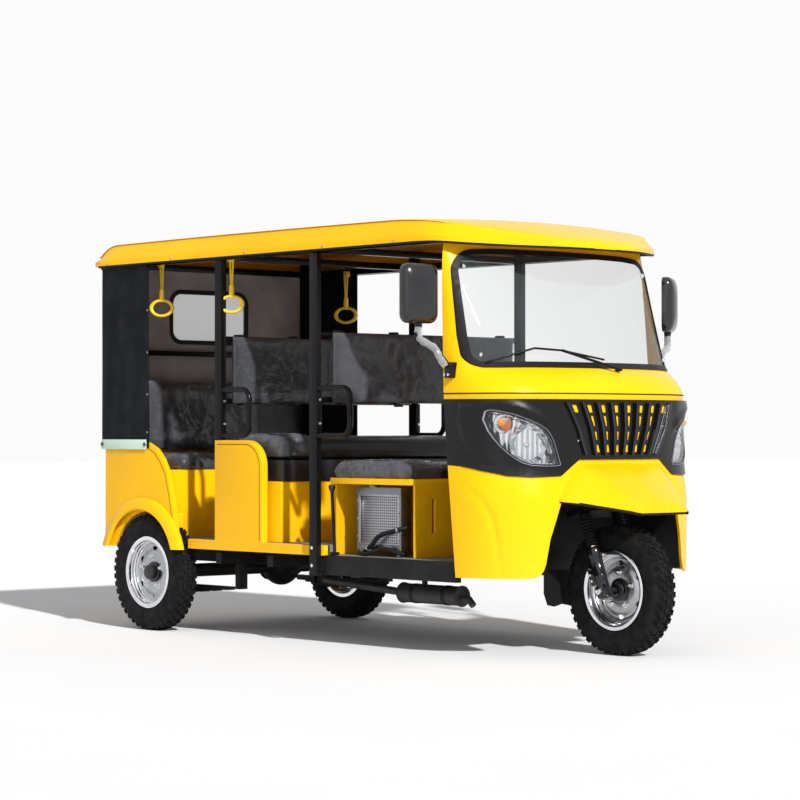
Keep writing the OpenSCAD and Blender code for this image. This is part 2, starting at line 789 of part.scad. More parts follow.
// Rounded window in the rear wall, grown by d on each side.
module window_prism(x, thick, d) {
    translate([x, -235 - d, 1391 - d]) rotate([90, 0, 90]) linear_extrude(thick) rounded(470 + 2 * d, 245 + 2 * d, 55 + d);
}
module rear_window() {
    color([0.8, 0.84, 0.86, 0.35]) window_prism(post_d_x - post_w / 2 - 6, 2, -seam);
}
module rear_curtains() {
    rear = post_d_x - post_w / 2 - 2 * seam - 8;
    color(black) both_sides() {
        block([rear - 6, -rear_body_y, body_z1 + seam], [-1175, -rear_body_y + 8, 1752]);
        block([rear - 6, -rear_body_y, body_z1 + seam], [rear, -side_y + 20, 1752]);
        // Batten that holds the curtain's top to the frame.
        block([rear, -rear_body_y + 7, 1738], [-1180, -side_y - seam, 1750]);
    }
}

module radiator() {
    color([0.5, 0.52, 0.54]) {
        // Core, side frames and tanks.
        block([radiator_x + 12, -515, 446], [radiator_x + radiator_l - 12, -480, 672]);
        for (x = [radiator_x, radiator_x + radiator_l - 20])
            block([x, -528, 436], [x + 20, -470, 692]);
        block([radiator_x, -528, 425], [radiator_x + radiator_l, -470, 450]);
        block([radiator_x, -530, 668], [radiator_x + radiator_l, -466, 700]);
        // Fan shroud towards the middle.
        translate([radiator_x + radiator_l / 2, -482, 560]) rotate([-90, 0, 0]) cylinder(h = 38, d = 196);
        for (x = [radiator_x + 15, radiator_x + radiator_l - 35])
            block([x, -525, front_floor_z + seam], [x + 20, -480, 430]);
    }
}

module engine() {
    color([0.35, 0.35, 0.36]) {
        block([engine_x0, -120, 290], [engine_x1 - seam, 120, 430]);
        // Gearbox and clutch covers.
        translate([-450, -200, 350]) rotate([-90, 0, 0]) cylinder(h = 400, d = 112);
        translate([-385, -165, 372]) rotate([-90, 0, 0]) cylinder(h = 60, d = 108);
        // Cylinder, head and cover.
        translate([-440, 0, 425]) rotate([0, 12, 0]) {
            block([-62, -66, 0], [62, 66, 130]);
            block([-70, -78, 128], [70, 78, 190]);
            translate([-50, 0, 185]) rotate([0, 90, 0]) cylinder(h = 100, d = 84);
        }
    }
}

module exhaust() {
    color(black) {
        translate([385, -400, muffler_z]) rotate([0, 90, 0]) cylinder(h = 372, d = muffler_d);
        for (x = [383, 754])
            translate([x, -400, muffler_z]) rotate([0, 90, 0]) cylinder(h = 5, d = muffler_d + 8);
        block([512, -410, muffler_z + 20], [528, -390, rail_z + 12 - seam]);
        tube([[-420, -90, 290 - seam], [-420, -90, 258], [-420, -170, 250], [390, -400, muffler_z]], 34);
        tube([[750, -400, muffler_z - 12], [800, -400, muffler_z - 12], [826, -400, muffler_z - 36]], 30);
    }
}

module rear_axle() {
    color(black) {
        translate([rear_axle_x, 0, axle_z]) rotate([90, 0, 0])
            cylinder(h = track - tyre_w - 40, d = 64, center = true);
        translate([rear_axle_x, 165, axle_z]) sphere(d = 184);
        translate([rear_axle_x + 20, 165, axle_z + 3]) rotate([0, 85, 0]) cylinder(h = 90, d = 96);
        both_sides() translate([rear_axle_x, -track / 2 - 20, axle_z]) rotate([-90, 0, 0])
            cylinder(h = 110, d = axle_d);
        // Brake drums beside the wheels.
        both_sides() translate([rear_axle_x, -track / 2 + rim_w / 2 + 3, axle_z]) rotate([-90, 0, 0])
            cylinder(h = 42, d = drum_d);
        tube([[rear_axle_x + 90, 165, axle_z + 8], [engine_x0 - 30, 60, 336], [engine_x0 - seam, 60, 336]], 46);
    }
}

// Leaf springs under the axle, each leaf shorter than the one above, with their hangers.
spring_y = track / 2 - 155;
spring_w = 50;
leaf_t = 8;
leaves = 5;
spring_front = 480;
spring_rear = 330;
spring_z = axle_z - 60;
module leaf_springs() {
    color(black) both_sides() {
        for (i = [0:leaves - 1])
            block([rear_axle_x - spring_rear * (1 - i / leaves), spring_y - spring_w / 2, spring_z - (i + 1) * leaf_t],
                  [rear_axle_x + spring_front * (1 - i / leaves), spring_y + spring_w / 2, spring_z - i * leaf_t]);
        block([rear_axle_x - 35, spring_y - spring_w / 2, spring_z], [rear_axle_x + 35, spring_y + spring_w / 2, axle_z - 32.3]);
        block([rear_axle_x + spring_front - 30, spring_y - spring_w / 2, spring_z],
              [rear_axle_x + spring_front, spring_y + spring_w / 2, rail_z + 12 - seam]);
        block([rear_axle_x - spring_rear, spring_y - spring_w / 2, spring_z],
              [rear_axle_x - spring_rear + 30, spring_y + spring_w / 2, rail_z + 12 - seam]);
    }
}

loop_y = 580;
loop_z = 1535;
loop_r = 48;
module hand_loops() {
    color(yellow) both_sides() for (x = [-608, -1145])
        translate([x, -loop_y, loop_z]) {
            rotate([90, 0, 0]) rotate_extrude() translate([loop_r, 0]) circle(d = 16);
            block([-12, -3, loop_r], [12, 3, roof_z0 - loop_z]);
            block([-12, -side_y + post_t + loop_y + seam, roof_z0 - loop_z - 10], [12, -2, roof_z0 - loop_z + 10]);
        }
}

module mirror_arms() {
    color([0.2, 0.2, 0.2]) both_sides() difference() {
        union() {
            tube([[935, -645, 1215], [905, -700, 1290], [880, -765, 1330], [880, -765, 1385 - seam]], 24);
            block([920, -662, 1150], [965, -600, 1240]);
        }
        cab_solid(seam, 1);
    }
}
module mirrors() {
    color(black) both_sides() {
        translate([866, -853, 1392]) rotate([90, 0, 90]) linear_extrude(40) rounded(mirror_w, mirror_h, 34);
        translate([904, -845, 1400]) rotate([90, 0, 90]) linear_extrude(18) rounded(mirror_w - 16, mirror_h - 16, 28);
        translate([880, -765, 1385]) cylinder(h = 20, d = 34);
    }
}

module wiper() {
    color(black) {
        difference() {
            tube([[1225, 46, 1200], [1268, 46, 1205], [1200, -240, 1284]], 12);
            cab_solid(seam, 1);
        }
        tube([[1070, -560, 1232], [1150, -354, 1292], [1195, -240, 1284], [1232, -20, 1248]], 9);
    }
}

module tail_lamps() {
    color([0.7, 0.05, 0.05]) both_sides() block([body_x0 - 22, 42 - rear_body_y, 640], [body_x0 - seam, 152 - rear_body_y, 780]);
}

module control_levers() {
    color(black) {
        block([108, -590, front_floor_z + seam], [142, -564, front_floor_z + 14]);
        bar([125, -577, front_floor_z + 8], [105, -577, 690], 14);
        translate([105, -577, 690]) sphere(d = 22);
        block([800, -120, front_floor_z + 60], [880, -60, front_floor_z + 72]);
        bar([840, -90, front_floor_z + seam], [840, -90, front_floor_z + 64], 14);
    }
}

module handlebar() {
    color([0.15, 0.15, 0.16]) steering_axis() {
        translate([0, 0, yoke_h]) cylinder(h = bar_h - yoke_h, d = stem_d);
        translate([0, 0, bar_h]) rotate([90, 0, 0]) cylinder(h = bar_w, d = bar_d, center = true);
        // Clamp and instrument pod.
        block([-24, -50, bar_h - 24], [24, 50, bar_h + 16]);
        slab([-34, -78, bar_h + 12], [40, 78, bar_h + 62], 14);
        // Lever brackets and levers.
        both_sides() {
            block([-16, -bar_w / 2 + 142, bar_h - 17], [30, -bar_w / 2 + 176, bar_h + 17]);
            tube([[26, -bar_w / 2 + 158, bar_h], [58, -bar_w / 2 + 130, bar_h], [50, -bar_w / 2 + 20, bar_h]], 11);
        }
    }
}
module handlebar_grips() {
    color(black) steering_axis() both_sides() translate([0, -bar_w / 2 + 130, bar_h]) rotate([90, 0, 0])
        difference() {
            cylinder(h = 120, d = bar_d + 12);
            translate([0, 0, -1]) cylinder(h = 122, d = bar_d + 2 * seam);
        }
}

// Ribbed gaiter between a fork's yoke and its lower tube.
gaiter_z0 = 186;
gaiter_ribs = 7;
module gaiter() {
    pitch = (yoke_h - gaiter_z0) / gaiter_ribs;
    translate([0, 0, gaiter_z0]) rotate_extrude()
        polygon(concat([[0, 0]], [for (i = [0:gaiter_ribs - 1]) each [[leg_d / 2 - 5, i * pitch],
                [leg_d / 2 + 2, (i + 0.5) * pitch]]], [[leg_d / 2 - 5, gaiter_ribs * pitch], [0, gaiter_ribs * pitch]]));
}

module front_fork() {
    color(black) steering_axis() {
        difference() {
            union() {
                translate([-30, -fork_y - 30, yoke_h]) cube([fork_offset + 60, 2 * fork_y + 60, yoke_t]);
                both_sides() translate([fork_offset, -fork_y, 0]) {
                    translate([0, 0, -32]) cylinder(h = gaiter_z0 + 34, d = leg_d);
                    translate([0, 0, gaiter_z0 - 16]) cylinder(h = 18, d = leg_d + 10);
                    gaiter();
                    translate([0, -leg_d / 2 - 8, 0]) rotate([-90, 0, 0]) cylinder(h = 20, d = 34, $fn = 6);
                }
                translate([fork_offset, 0, 0]) rotate([90, 0, 0]) cylinder(h = 2 * fork_y, d = axle_d, center = true);
                // Brake drum's back plate on the left.
                translate([fork_offset, rim_w / 2 + 2, 0]) rotate([-90, 0, 0]) cylinder(h = 26, d = drum_d - 20);
            }
            translate([0, 0, yoke_h - 1]) cylinder(h = yoke_t + 2, d = stem_d + 2 * seam);
        }
    }
}

module at_wheel(x, y) {
    translate([x, y, wheel_z]) rotate([90, 0, 0]) children();
}

module tyre() {
    color(black) rotate_extrude($fn = 96)
        polygon([[rim_d / 2 - 17, -rim_w / 2 + 8.4], [rim_d / 2 + 1, -rim_w / 2 + 4.4], [rim_d / 2 + 25, -tyre_w / 2 + 4], [rim_d / 2 + 55, -tyre_w / 2],
                 [tyre_od / 2 - 18, -tread_w / 2 - 6], [tyre_od / 2 - 5, -tread_w / 2], [tyre_od / 2, -tread_w / 2 + 20],
                 [tyre_od / 2, tread_w / 2 - 20], [tyre_od / 2 - 5, tread_w / 2], [tyre_od / 2 - 18, tread_w / 2 + 6],
                 [rim_d / 2 + 55, tyre_w / 2], [rim_d / 2 + 25, tyre_w / 2 - 4],
                 [rim_d / 2 + 1, rim_w / 2 - 4.4], [rim_d / 2 - 17, rim_w / 2 - 8.4]]);
}

// Local Z of a rim points outwards.
module rim() {
    color([0.75, 0.77, 0.8]) rotate_extrude($fn = 72)
        polygon([[axle_d / 2 + hub_fit, -hub_l / 2], [hub_d / 2, -hub_l / 2], [hub_d / 2, -6], [rim_d / 2 - 50, -6],
                 [rim_d / 2 - 38, -20], [rim_d / 2 - 30, -rim_w / 2 + 12], [rim_d / 2 - 22, -rim_w / 2 + 6], [rim_d / 2 - 18, -rim_w / 2],
                 [rim_d / 2, -rim_w / 2], [rim_d / 2, -rim_w / 2 + 4], [rim_d / 2 - 17.3, -rim_w / 2 + 8],
                 [rim_d / 2 - 17.3, rim_w / 2 - 8], [rim_d / 2, rim_w / 2 - 4], [rim_d / 2, rim_w / 2],
                 [rim_d / 2 - 18, rim_w / 2], [rim_d / 2 - 22, rim_w / 2 - 6], [rim_d / 2 - 30, rim_w / 2 - 12],
                 [rim_d / 2 - 38, 20], [rim_d / 2 - 52, 4], [hub_d / 2, 4], [hub_d / 2 - 6, hub_l / 2 - 10], [axle_d / 2 + hub_fit, hub_l / 2 - 10]]);
}

module front_tyre() { at_wheel(front_axle_x, 0) tyre(); }
module front_rim() { at_wheel(front_axle_x, 0) rim(); }
module rear_tyre_right() { at_wheel(rear_axle_x, -track / 2) tyre(); }
module rear_rim_right() { at_wheel(rear_axle_x, -track / 2) rim(); }
module rear_tyre_left() { at_wheel(rear_axle_x, track / 2) tyre(); }
module rear_rim_left() { at_wheel(rear_axle_x, track / 2) mirror([0, 0, 1]) rim(); }

lifted() chassis_frame();
lifted() floor_deck();
lifted() side_panels();
lifted() rear_body();
lifted() cab_cowl();
lifted() windscreen_frame();
lifted() windscreen_seal();
lifted() windscreen_glass();
lifted() front_mask();
lifted() grille();
lifted() headlamp_bowls();
lifted() headlamp_lenses();
lifted() front_mudguard();
lifted() front_bulkhead();
lifted() mud_flap();
lifted() roof_shell();
lifted() side_frames();
lifted() cross_frames();
lifted() rear_wall();
lifted() rear_window();
lifted() rear_curtains();
lifted() rear_seat_base();
lifted() rear_seat_cushion();
lifted() rear_seat_back();
lifted() middle_seat_base();
lifted() middle_seat_cushion();
lifted() driver_seat_base();
lifted() driver_seat_cushion();
lifted() backrest_pads();
lifted() radiator();
lifted() engine();
lifted() exhaust();
lifted() rear_axle();
lifted() leaf_springs();
lifted() hand_loops();
lifted() mirror_arms();
lifted() mirrors();
lifted() wiper();
lifted() tail_lamps();
lifted() control_levers();
lifted() handlebar();
lifted() handlebar_grips();
lifted() front_fork();
front_tyre();
front_rim();
rear_tyre_right();
rear_rim_right();
rear_tyre_left();
rear_rim_left();
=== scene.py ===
"""The looks of a motorized passenger tricycle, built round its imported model.

Each piece or group of like pieces is one operator. All lengths are metres and the axes are
the model's: X forwards, Y to the left, Z up, with the ground at zero.
"""
import math

import bmesh
import bpy
from bpy.props import FloatProperty, FloatVectorProperty, IntProperty, PointerProperty
from mathutils import Matrix, Vector, noise


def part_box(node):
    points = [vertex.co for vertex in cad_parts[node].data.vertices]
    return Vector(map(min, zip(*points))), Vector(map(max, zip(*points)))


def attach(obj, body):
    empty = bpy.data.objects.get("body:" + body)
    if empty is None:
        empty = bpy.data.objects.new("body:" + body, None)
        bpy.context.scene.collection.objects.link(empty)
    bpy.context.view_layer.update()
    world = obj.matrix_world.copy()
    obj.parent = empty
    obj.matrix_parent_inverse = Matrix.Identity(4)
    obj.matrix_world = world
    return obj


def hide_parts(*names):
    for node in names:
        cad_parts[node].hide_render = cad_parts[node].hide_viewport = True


bl_info = {
    "name": "Passenger tricycle",
    "version": (1, 0, 0),
    "blender": (4, 5, 0),
    "location": "View3D > Sidebar > Tricycle",
    "description": "Builds the looks of a motorized passenger tricycle",
    "category": "Add Mesh",
}

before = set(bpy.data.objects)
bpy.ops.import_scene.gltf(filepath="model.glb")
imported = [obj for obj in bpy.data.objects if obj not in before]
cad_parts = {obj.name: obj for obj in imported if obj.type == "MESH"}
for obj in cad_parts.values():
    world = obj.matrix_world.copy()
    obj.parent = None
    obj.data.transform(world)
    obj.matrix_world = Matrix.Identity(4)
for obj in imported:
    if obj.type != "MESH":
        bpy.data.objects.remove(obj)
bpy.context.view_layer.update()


# Sizes taken from the frame

def centre_of(node):
    low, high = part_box(node)
    return (low + high) / 2


FRONT_WHEEL = centre_of("front_tyre")
REAR_RIGHT = centre_of("rear_tyre_right")
REAR_LEFT = centre_of("rear_tyre_left")
WHEELS = (("front_tyre", FRONT_WHEEL, "front_wheel"), ("rear_tyre_right", REAR_RIGHT, "rear_wheel_right"),
          ("rear_tyre_left", REAR_LEFT, "rear_wheel_left"))
TYRE_RADIUS = FRONT_WHEEL.z
TYRE_WIDTH = (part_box("front_tyre")[1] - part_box("front_tyre")[0]).y


# Materials

def add_node(tree, kind, inputs=(), **settings):
    """A shader node, with each input set to a value or linked to an output."""
    node = tree.nodes.new("ShaderNode" + kind)
    for key, value in settings.items():
        setattr(node, key, value)
    for key, value in dict(inputs).items():
        if hasattr(value, "is_output"):
            tree.links.new(value, node.inputs[key])
        else:
            node.inputs[key].default_value = value
    return node


class Nodes:
    """Short ways to add nodes to one material."""

    def __init__(self, name):
        self.material = bpy.data.materials.new(name)
        self.material.use_nodes = True
        self.tree = self.material.node_tree
        self.shader = self.tree.nodes["Principled BSDF"]
        self.place = self.add("TexCoord").outputs["Object"]

    def add(self, kind, inputs=(), **settings):
        return add_node(self.tree, kind, inputs, **settings)

    def link(self, output, key):
        self.tree.links.new(output, self.shader.inputs[key])

    def noise(self, scale, detail=3.0, rough=0.55):
        values = {"Vector": self.place, "Scale": scale, "Detail": detail, "Roughness": rough}
        return self.add("TexNoise", values).outputs["Fac"]

    def ramp(self, value, *stops):
        node = self.add("ValToRGB", {"Fac": value})
        points = node.color_ramp.elements
        while len(points) < len(stops):
            points.new(0.5)
        for point, (at, colour) in zip(points, stops):
            point.position = at
            point.color = (*colour, 1) if len(colour) == 3 else colour
        return node.outputs["Color"]

    def range(self, value, low, high, start=0.0, end=1.0):
        return self.add("MapRange", {"Value": value, "From Min": start, "From Max": end, "To Min": low,
                "To Max": high}).outputs[0]

    def base(self, colour, dark, light, scale, detail=3.0):
        """A base colour that drifts from darker to lighter."""
        drift = self.ramp(self.noise(scale, detail), (0.3, shade(colour, dark)), (0.7, shade(colour, light)))
        self.link(drift, "Base Color")

    def rough(self, low, high, scale, detail=3.0):
        """Roughness that drifts between two values."""
        self.link(self.range(self.noise(scale, detail), low, high, 0.3, 0.7), "Roughness")

    def wave(self, scale, way, distortion=0.0):
        return self.add("TexWave", {"Vector": self.place, "Scale": scale, "Distortion": distortion},
                        bands_direction=way).outputs["Fac"]

    def height(self):
        return self.add("SeparateXYZ", {"Vector": self.place}).outputs["Z"]

    def bump(self, value, strength, distance=0.002):
        node = self.add("Bump", {"Height": value, "Strength": strength, "Distance": distance})
        self.link(node.outputs["Normal"], "Normal")

    def fixed(self, **values):
        for key, value in values.items():
            self.shader.inputs[key.replace("_", " ")].default_value = value


def shade(colour, amount):
    """A colour made darker or lighter."""
    return tuple(min(1.0, c * amount) for c in colour[:3])


def paint(name, colour, rough=0.32, coat=0.3, dust=0.12, sheen=0.5):
    """Sprayed paint: slight colour drift, orange peel and road dust low down."""
    n = Nodes(name)
    drift = n.ramp(n.noise(1.7), (0.3, shade(colour, 0.93)), (0.7, shade(colour, 1.04)))
    low = n.add("Math", {0: n.range(n.height(), dust, 0.0, 0.30, 0.75),
                         1: n.range(n.noise(9.0, 6.0), 0.3, 1.0, 0.3, 0.7)}, operation="MULTIPLY", use_clamp=True)
    mixed = n.add("Mix", {"Factor": low.outputs[0], "A": drift, "B": (0.33, 0.30, 0.25, 1)}, data_type="RGBA")
    n.link(mixed.outputs["Result"], "Base Color")
    n.rough(rough * 0.85, rough * 1.2, 26.0, 4.0)
    n.bump(n.noise(30.0, 1.0), 0.01, 0.0008)
    n.fixed(Coat_Weight=coat, Coat_Roughness=0.06, Specular_IOR_Level=sheen)
    return n.material


def moulded(name, colour, rough=0.45, grain=900.0, depth=0.12, sheen=0.5):
    """Moulded plastic with a fine grain."""
    n = Nodes(name)
    n.base(colour, 0.85, 1.2, 6.0)
    n.rough(rough * 0.85, rough * 1.2, 40.0)
    n.bump(n.noise(grain, 2.0), depth, 0.0005)
    n.fixed(Specular_IOR_Level=sheen)
    return n.material


def metal(name, colour, rough=0.3):
    """Bare or plated metal with faint marks from handling."""
    n = Nodes(name)
    n.base(colour, 0.86, 1.0, 14.0, 5.0)
    n.rough(rough * 0.7, rough * 1.35, 60.0, 4.0)
    n.bump(n.noise(160.0), 0.05, 0.0006)
    n.fixed(Metallic=1.0)
    return n.material


def rubber(name, colour, dirt=0.5):
    """Tyre rubber with dry dust rubbed into it."""
    n = Nodes(name)
    dusty = n.ramp(n.noise(22.0, 7.0, 0.65), (0.42, colour[:3]), (0.78, tuple(c + 0.10 * dirt for c in colour[:3])))
    n.link(dusty, "Base Color")
    n.rough(0.55, 0.85, 30.0, 5.0)
    n.bump(n.noise(500.0, 3.0), 0.12, 0.0008)
    n.fixed(Specular_IOR_Level=0.07)
    return n.material


def clear(name, colour, rough=0.02, ior=1.45, alpha=0.12, edge=None, creases=0.0):
    """Clear sheet or glass that doesn't refract. Edge is how solid it looks when seen along."""
    n = Nodes(name)
    n.link(n.range(n.noise(12.0, 5.0), rough, rough + 0.05, 0.4, 0.8), "Roughness")
    n.fixed(Base_Color=(*colour[:3], 1), IOR=ior, Alpha=alpha, Specular_IOR_Level=0.8)
    if edge:
        facing = n.add("LayerWeight", {"Blend": 0.45}).outputs["Facing"]
        n.link(n.range(facing, alpha, edge, 0.1, 0.9), "Alpha")
    if creases:
        warp = n.add("TexNoise", {"Vector": n.place, "Scale": 5.0, "Detail": 2.0}).outputs["Color"]
        bent = n.add("VectorMath", {0: n.place, 1: n.add("VectorMath", {0: warp, "Scale": 0.25},
                operation="SCALE").outputs[0]}).outputs[0]
        folds = n.add("TexVoronoi", {"Vector": bent, "Scale": 11.0}, feature="DISTANCE_TO_EDGE").outputs["Distance"]
        n.bump(n.range(folds, 1.0, 0.0, 0.0, 0.16), creases, 0.006)
    return n.material


def vinyl(name, colour):
    """Grained seat vinyl under a loose clear film."""
    n = Nodes(name)
    n.base(colour, 0.8, 1.3, 5.0)
    n.rough(0.28, 0.5, 18.0, 4.0)
    leather = n.add("TexVoronoi", {"Vector": n.place, "Scale": 420.0}).outputs["Distance"]
    n.bump(leather, 0.25, 0.0006)
    n.fixed(Coat_Weight=0.12, Coat_Roughness=0.2, Specular_IOR_Level=0.3)
    return n.material


def canvas(name, colour):
    """Coated woven canvas with soft creases."""
    n = Nodes(name)
    n.base(colour, 0.8, 1.35, 4.0, 5.0)
    n.rough(0.5, 0.75, 9.0, 4.0)
    both = n.add("Math", {0: n.wave(260.0, "Z", 0.4), 1: n.wave(260.0, "Y", 0.4)}, operation="ADD").outputs[0]
    creases = n.add("Math", {0: both, 1: n.range(n.noise(3.0, 5.0), 0.0, 9.0)}, operation="ADD").outputs[0]
    n.bump(creases, 0.25, 0.0009)
    n.fixed(Specular_IOR_Level=0.12)
    return n.material


def perforated(name, colour, scale):
    """Sheet metal with a close pattern of round holes, which are painted near black as painted shade."""
    n = Nodes(name)
    cells = n.add("TexVoronoi", {"Vector": n.add("Mapping",
            {"Vector": n.place, "Scale": (1.0, 0.0, 1.15)}).outputs[0], "Scale": scale, "Randomness": 0.0})
    hole = n.range(cells.outputs["Distance"], 0.0, 1.0, 0.30, 0.38)
    # Painted shade: the holes are near black, for the dark behind the guard.
    n.link(n.ramp(hole, (0.3, (0.03, 0.03, 0.035)), (0.7, colour)), "Base Color")
    n.link(hole, "Metallic")
    n.bump(hole, 0.4, 0.0015)
    n.fixed(Roughness=0.35)
    return n.material


def fluted(name, colour):
    """Plated lamp backing with upright flutes, whose troughs are painted darker as painted shade."""
    n = Nodes(name)
    waves = n.wave(16.0, "Y")
    # Painted shade: the colour darkens in the flutes' troughs, in step with their bump.
    n.link(n.ramp(waves, (0.3, shade(colour, 0.6)), (0.7, colour)), "Base Color")
    n.bump(waves, 0.5, 0.003)
    n.fixed(Metallic=1.0, Roughness=0.12)
    return n.material


def lashing(name, cord, tape):
    """A woven lashing: slanted turns of cord over a pale tape."""
    n = Nodes(name)
    turns = n.wave(34.0, "DIAGONAL", 0.6)
    n.link(n.ramp(turns, (0.35, cord), (0.6, tape)), "Base Color")
    n.bump(turns, 0.5, 0.0015)
    n.fixed(Roughness=0.75)
    return n.material


def make_finishes(colours):
    """Every finish of the vehicle, by name."""
    yellow, black = tuple(colours.body), tuple(colours.frame)
    return {
        "yellow": paint("body yellow", yellow, 0.26, 0.0, 0.04, 0.14),
        # Painted shade: a darker, oranger copy of the body yellow for the roof's underside and its rear closing.
        "ceiling": paint("roof underside painted shade", (yellow[0] * 0.48, yellow[1] * 0.36, 0.008), 0.5, 0.0, 0.0, 0.08),
        # Painted shade: a dark copy of the body yellow for the pressed lines' grooves.
        "seam": paint("pressed line painted shade", shade(yellow, 0.32), 0.5, 0.0, 0.0, 0.1),
        "frame": paint("frame black", shade(black, 0.5), 0.22, 0.0, 0.02, 0.16),
        "iron": paint("chassis black", shade(black, 0.5), 0.45, 0.0, 0.05, 0.12),
        "plastic": moulded("black plastic", shade(colours.plastic, 0.2), 0.24, depth=0.03, sheen=0.3),
        "gloss": moulded("gloss plastic", shade(colours.plastic, 0.5), 0.14, 300.0, 0.01),
        "shell": moulded("mirror shell", shade(colours.plastic, 0.25), 0.20, 300.0, 0.01, 0.7),
        "seal": moulded("seal rubber", (0.008, 0.008, 0.009), 0.5, 500.0, 0.1, 0.15),
        "tyre": rubber("tyre rubber", (0.007, 0.007, 0.0075), 0.14),
        "chrome": metal("plated steel", (0.82, 0.83, 0.85), 0.12),
        "steel": metal("grey steel", (0.42, 0.43, 0.45), 0.38),
        "disc": metal("satin disc", (0.46, 0.47, 0.48), 0.34),
        "wrap": clear("wound film", (0.50, 0.51, 0.53), 0.10, 1.4, 0.45, 0.9),
        "cast": metal("cast metal", (0.16, 0.16, 0.17), 0.55),
        "muffler": paint("muffler black", (0.012, 0.012, 0.013), 0.5, 0.0, 0.1, 0.25),
        "guard": perforated("radiator guard", (0.40, 0.41, 0.43), 74.0),
        "fins": metal("radiator metal", (0.22, 0.23, 0.25), 0.32),
        "bowl": metal("lamp reflector", (0.86, 0.87, 0.90), 0.05),
        "fluted": fluted("lamp backing", (0.82, 0.83, 0.86)),
        "glass": clear("screen glass", (0.16, 0.20, 0.20), 0.01, 1.45, 0.07, 0.25),
        "lens": clear("lamp lens", (0.30, 0.31, 0.32), 0.01, 1.45, 0.06, 0.35),
        "film": clear("clear film", (0.20, 0.21, 0.24), 0.015, 1.6, 0.10, 0.55, 0.35),
        "window": clear("window sheet", (0.86, 0.9, 0.93), 0.2, 1.45, 0.45),
        "vinyl": vinyl("seat vinyl", (0.009, 0.009, 0.011)),
        "canvas": canvas("black canvas", (0.0032, 0.0042, 0.0064)),
        "lining": canvas("grey lining", (0.30, 0.275, 0.27)),
        "lashing": lashing("lashing", (0.30, 0.52, 0.34), (0.75, 0.80, 0.76)),
        "floor": paint("floor sheet", (0.13, 0.13, 0.135), 0.6, 0.0, 0.5),
        "loop": moulded("yellow plastic", (0.92, 0.55, 0.012), 0.3, 300.0, 0.03),
        "red": moulded("red lens", (0.55, 0.01, 0.01), 0.15, 200.0, 0.02),
        "amber": moulded("amber lens", (0.75, 0.22, 0.02), 0.15, 200.0, 0.02),
        "mirror": metal("mirror glass", (0.85, 0.87, 0.88), 0.02),
    }


FINISH_OF_NODE = {
    "yellow": "side_panels rear_body cab_cowl windscreen_frame front_mudguard roof_shell "
              "rear_seat_base middle_seat_base driver_seat_base",
    "frame": "side_frames cross_frames mirror_arms wiper control_levers handlebar",
    "iron": "chassis_frame rear_axle leaf_springs front_fork",
    "plastic": "front_mask grille front_bulkhead",
    "gloss": "mirrors",
    "seal": "windscreen_seal mud_flap handlebar_grips",
    "tyre": "front_tyre rear_tyre_right rear_tyre_left",
    "chrome": "front_rim rear_rim_right rear_rim_left",
    "cast": "engine exhaust",
    "fins": "radiator",
    "bowl": "headlamp_bowls",
    "glass": "windscreen_glass",
    "lens": "headlamp_lenses",
    "window": "rear_window",
    "vinyl": "rear_seat_cushion rear_seat_back middle_seat_cushion driver_seat_cushion backrest_pads",
    "canvas": "rear_curtains",
    "lining": "rear_wall",
    "floor": "floor_deck",
    "loop": "hand_loops",
    "red": "tail_lamps",
}
FINISHES = {}


# Making pieces

MERGE = 0.00001

def smooth_faces(mesh, angle=35.0):
    """Smooth shading that keeps edges sharper than the angle."""
    bm = bmesh.new()
    bm.from_mesh(mesh)
    for face in bm.faces:
        face.smooth = True
    for edge in bm.edges:
        edge.smooth = edge.is_manifold and edge.calc_face_angle(0.0) < math.radians(angle)
    bm.to_mesh(mesh)
    bm.free()


def finish_piece(name, bm, finish, body="body", replaces=(), angle=35.0):
    """A mesh object from a bmesh, dressed, and riding on its body. The first finish says its slot."""
    keys = [finish] if isinstance(finish, str) else finish
    mesh = bpy.data.meshes.new(name)
    bm.to_mesh(mesh)
    bm.free()
    smooth_faces(mesh, angle)
    piece = bpy.data.objects.new(name, mesh)
    bpy.context.scene.collection.objects.link(piece)
    for key in keys:
        mesh.materials.append(FINISHES[key])
    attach(piece, body)
    if replaces:
        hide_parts(*replaces)
    return piece


def copy_of_node(node):
    """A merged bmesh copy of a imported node."""
    bm = bmesh.new()
    bm.from_mesh(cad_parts[node].data)
    bmesh.ops.remove_doubles(bm, verts=bm.verts, dist=0.00002)
    return bm


def box_at(bm, low, high, bevel=0.0, segments=2):
    """A block from its low corner to its high corner, with rounded edges."""
    low, high = Vector(low), Vector(high)
    made = bmesh.ops.create_cube(bm, size=1.0)["verts"]
    size = high - low
    bmesh.ops.transform(bm, verts=made, matrix=Matrix.Translation((low + high) / 2) @ Matrix.Diagonal((*size, 1)))
    if bevel:
        round_edges(bm, {e for v in made for e in v.link_edges}, bevel, segments)


def sided_box(bm, side, low, high, bevel=0.0, segments=2):
    """A block whose corners are given for the left side, made on the side asked for."""
    (x0, y0, z0), (x1, y1, z1) = low, high
    y0, y1 = sorted((side * y0, side * y1))
    box_at(bm, (x0, y0, z0), (x1, y1, z1), bevel, segments)


def round_edges(bm, edges, width, segments=2):
    bmesh.ops.bevel(bm, geom=list(edges), offset=width, segments=segments, profile=0.5, affect="EDGES", material=-1)


def spun(bm, profile, centre, steps):
    """A closed profile of (radius, along) pairs turned round the Y axis at a centre."""
    centre = Vector(centre)
    verts = [bm.verts.new(centre + Vector((r, y, 0))) for r, y in profile]
    edges = [bm.edges.new((verts[i - 1], verts[i])) for i in range(len(verts))]
    bmesh.ops.spin(bm, geom=verts + edges, cent=centre, axis=(0, 1, 0), angle=math.tau, steps=steps, use_merge=True)


def hoop(centre, radius, wire, sides, steps):
    """A ring of round wire about the Y axis."""
    one = bmesh.new()
    turns = [math.tau * i / sides for i in range(sides)]
    spun(one, [(radius + wire * math.cos(t), wire * math.sin(t)) for t in turns], centre, steps)
    tidy_normals(one)
    return one


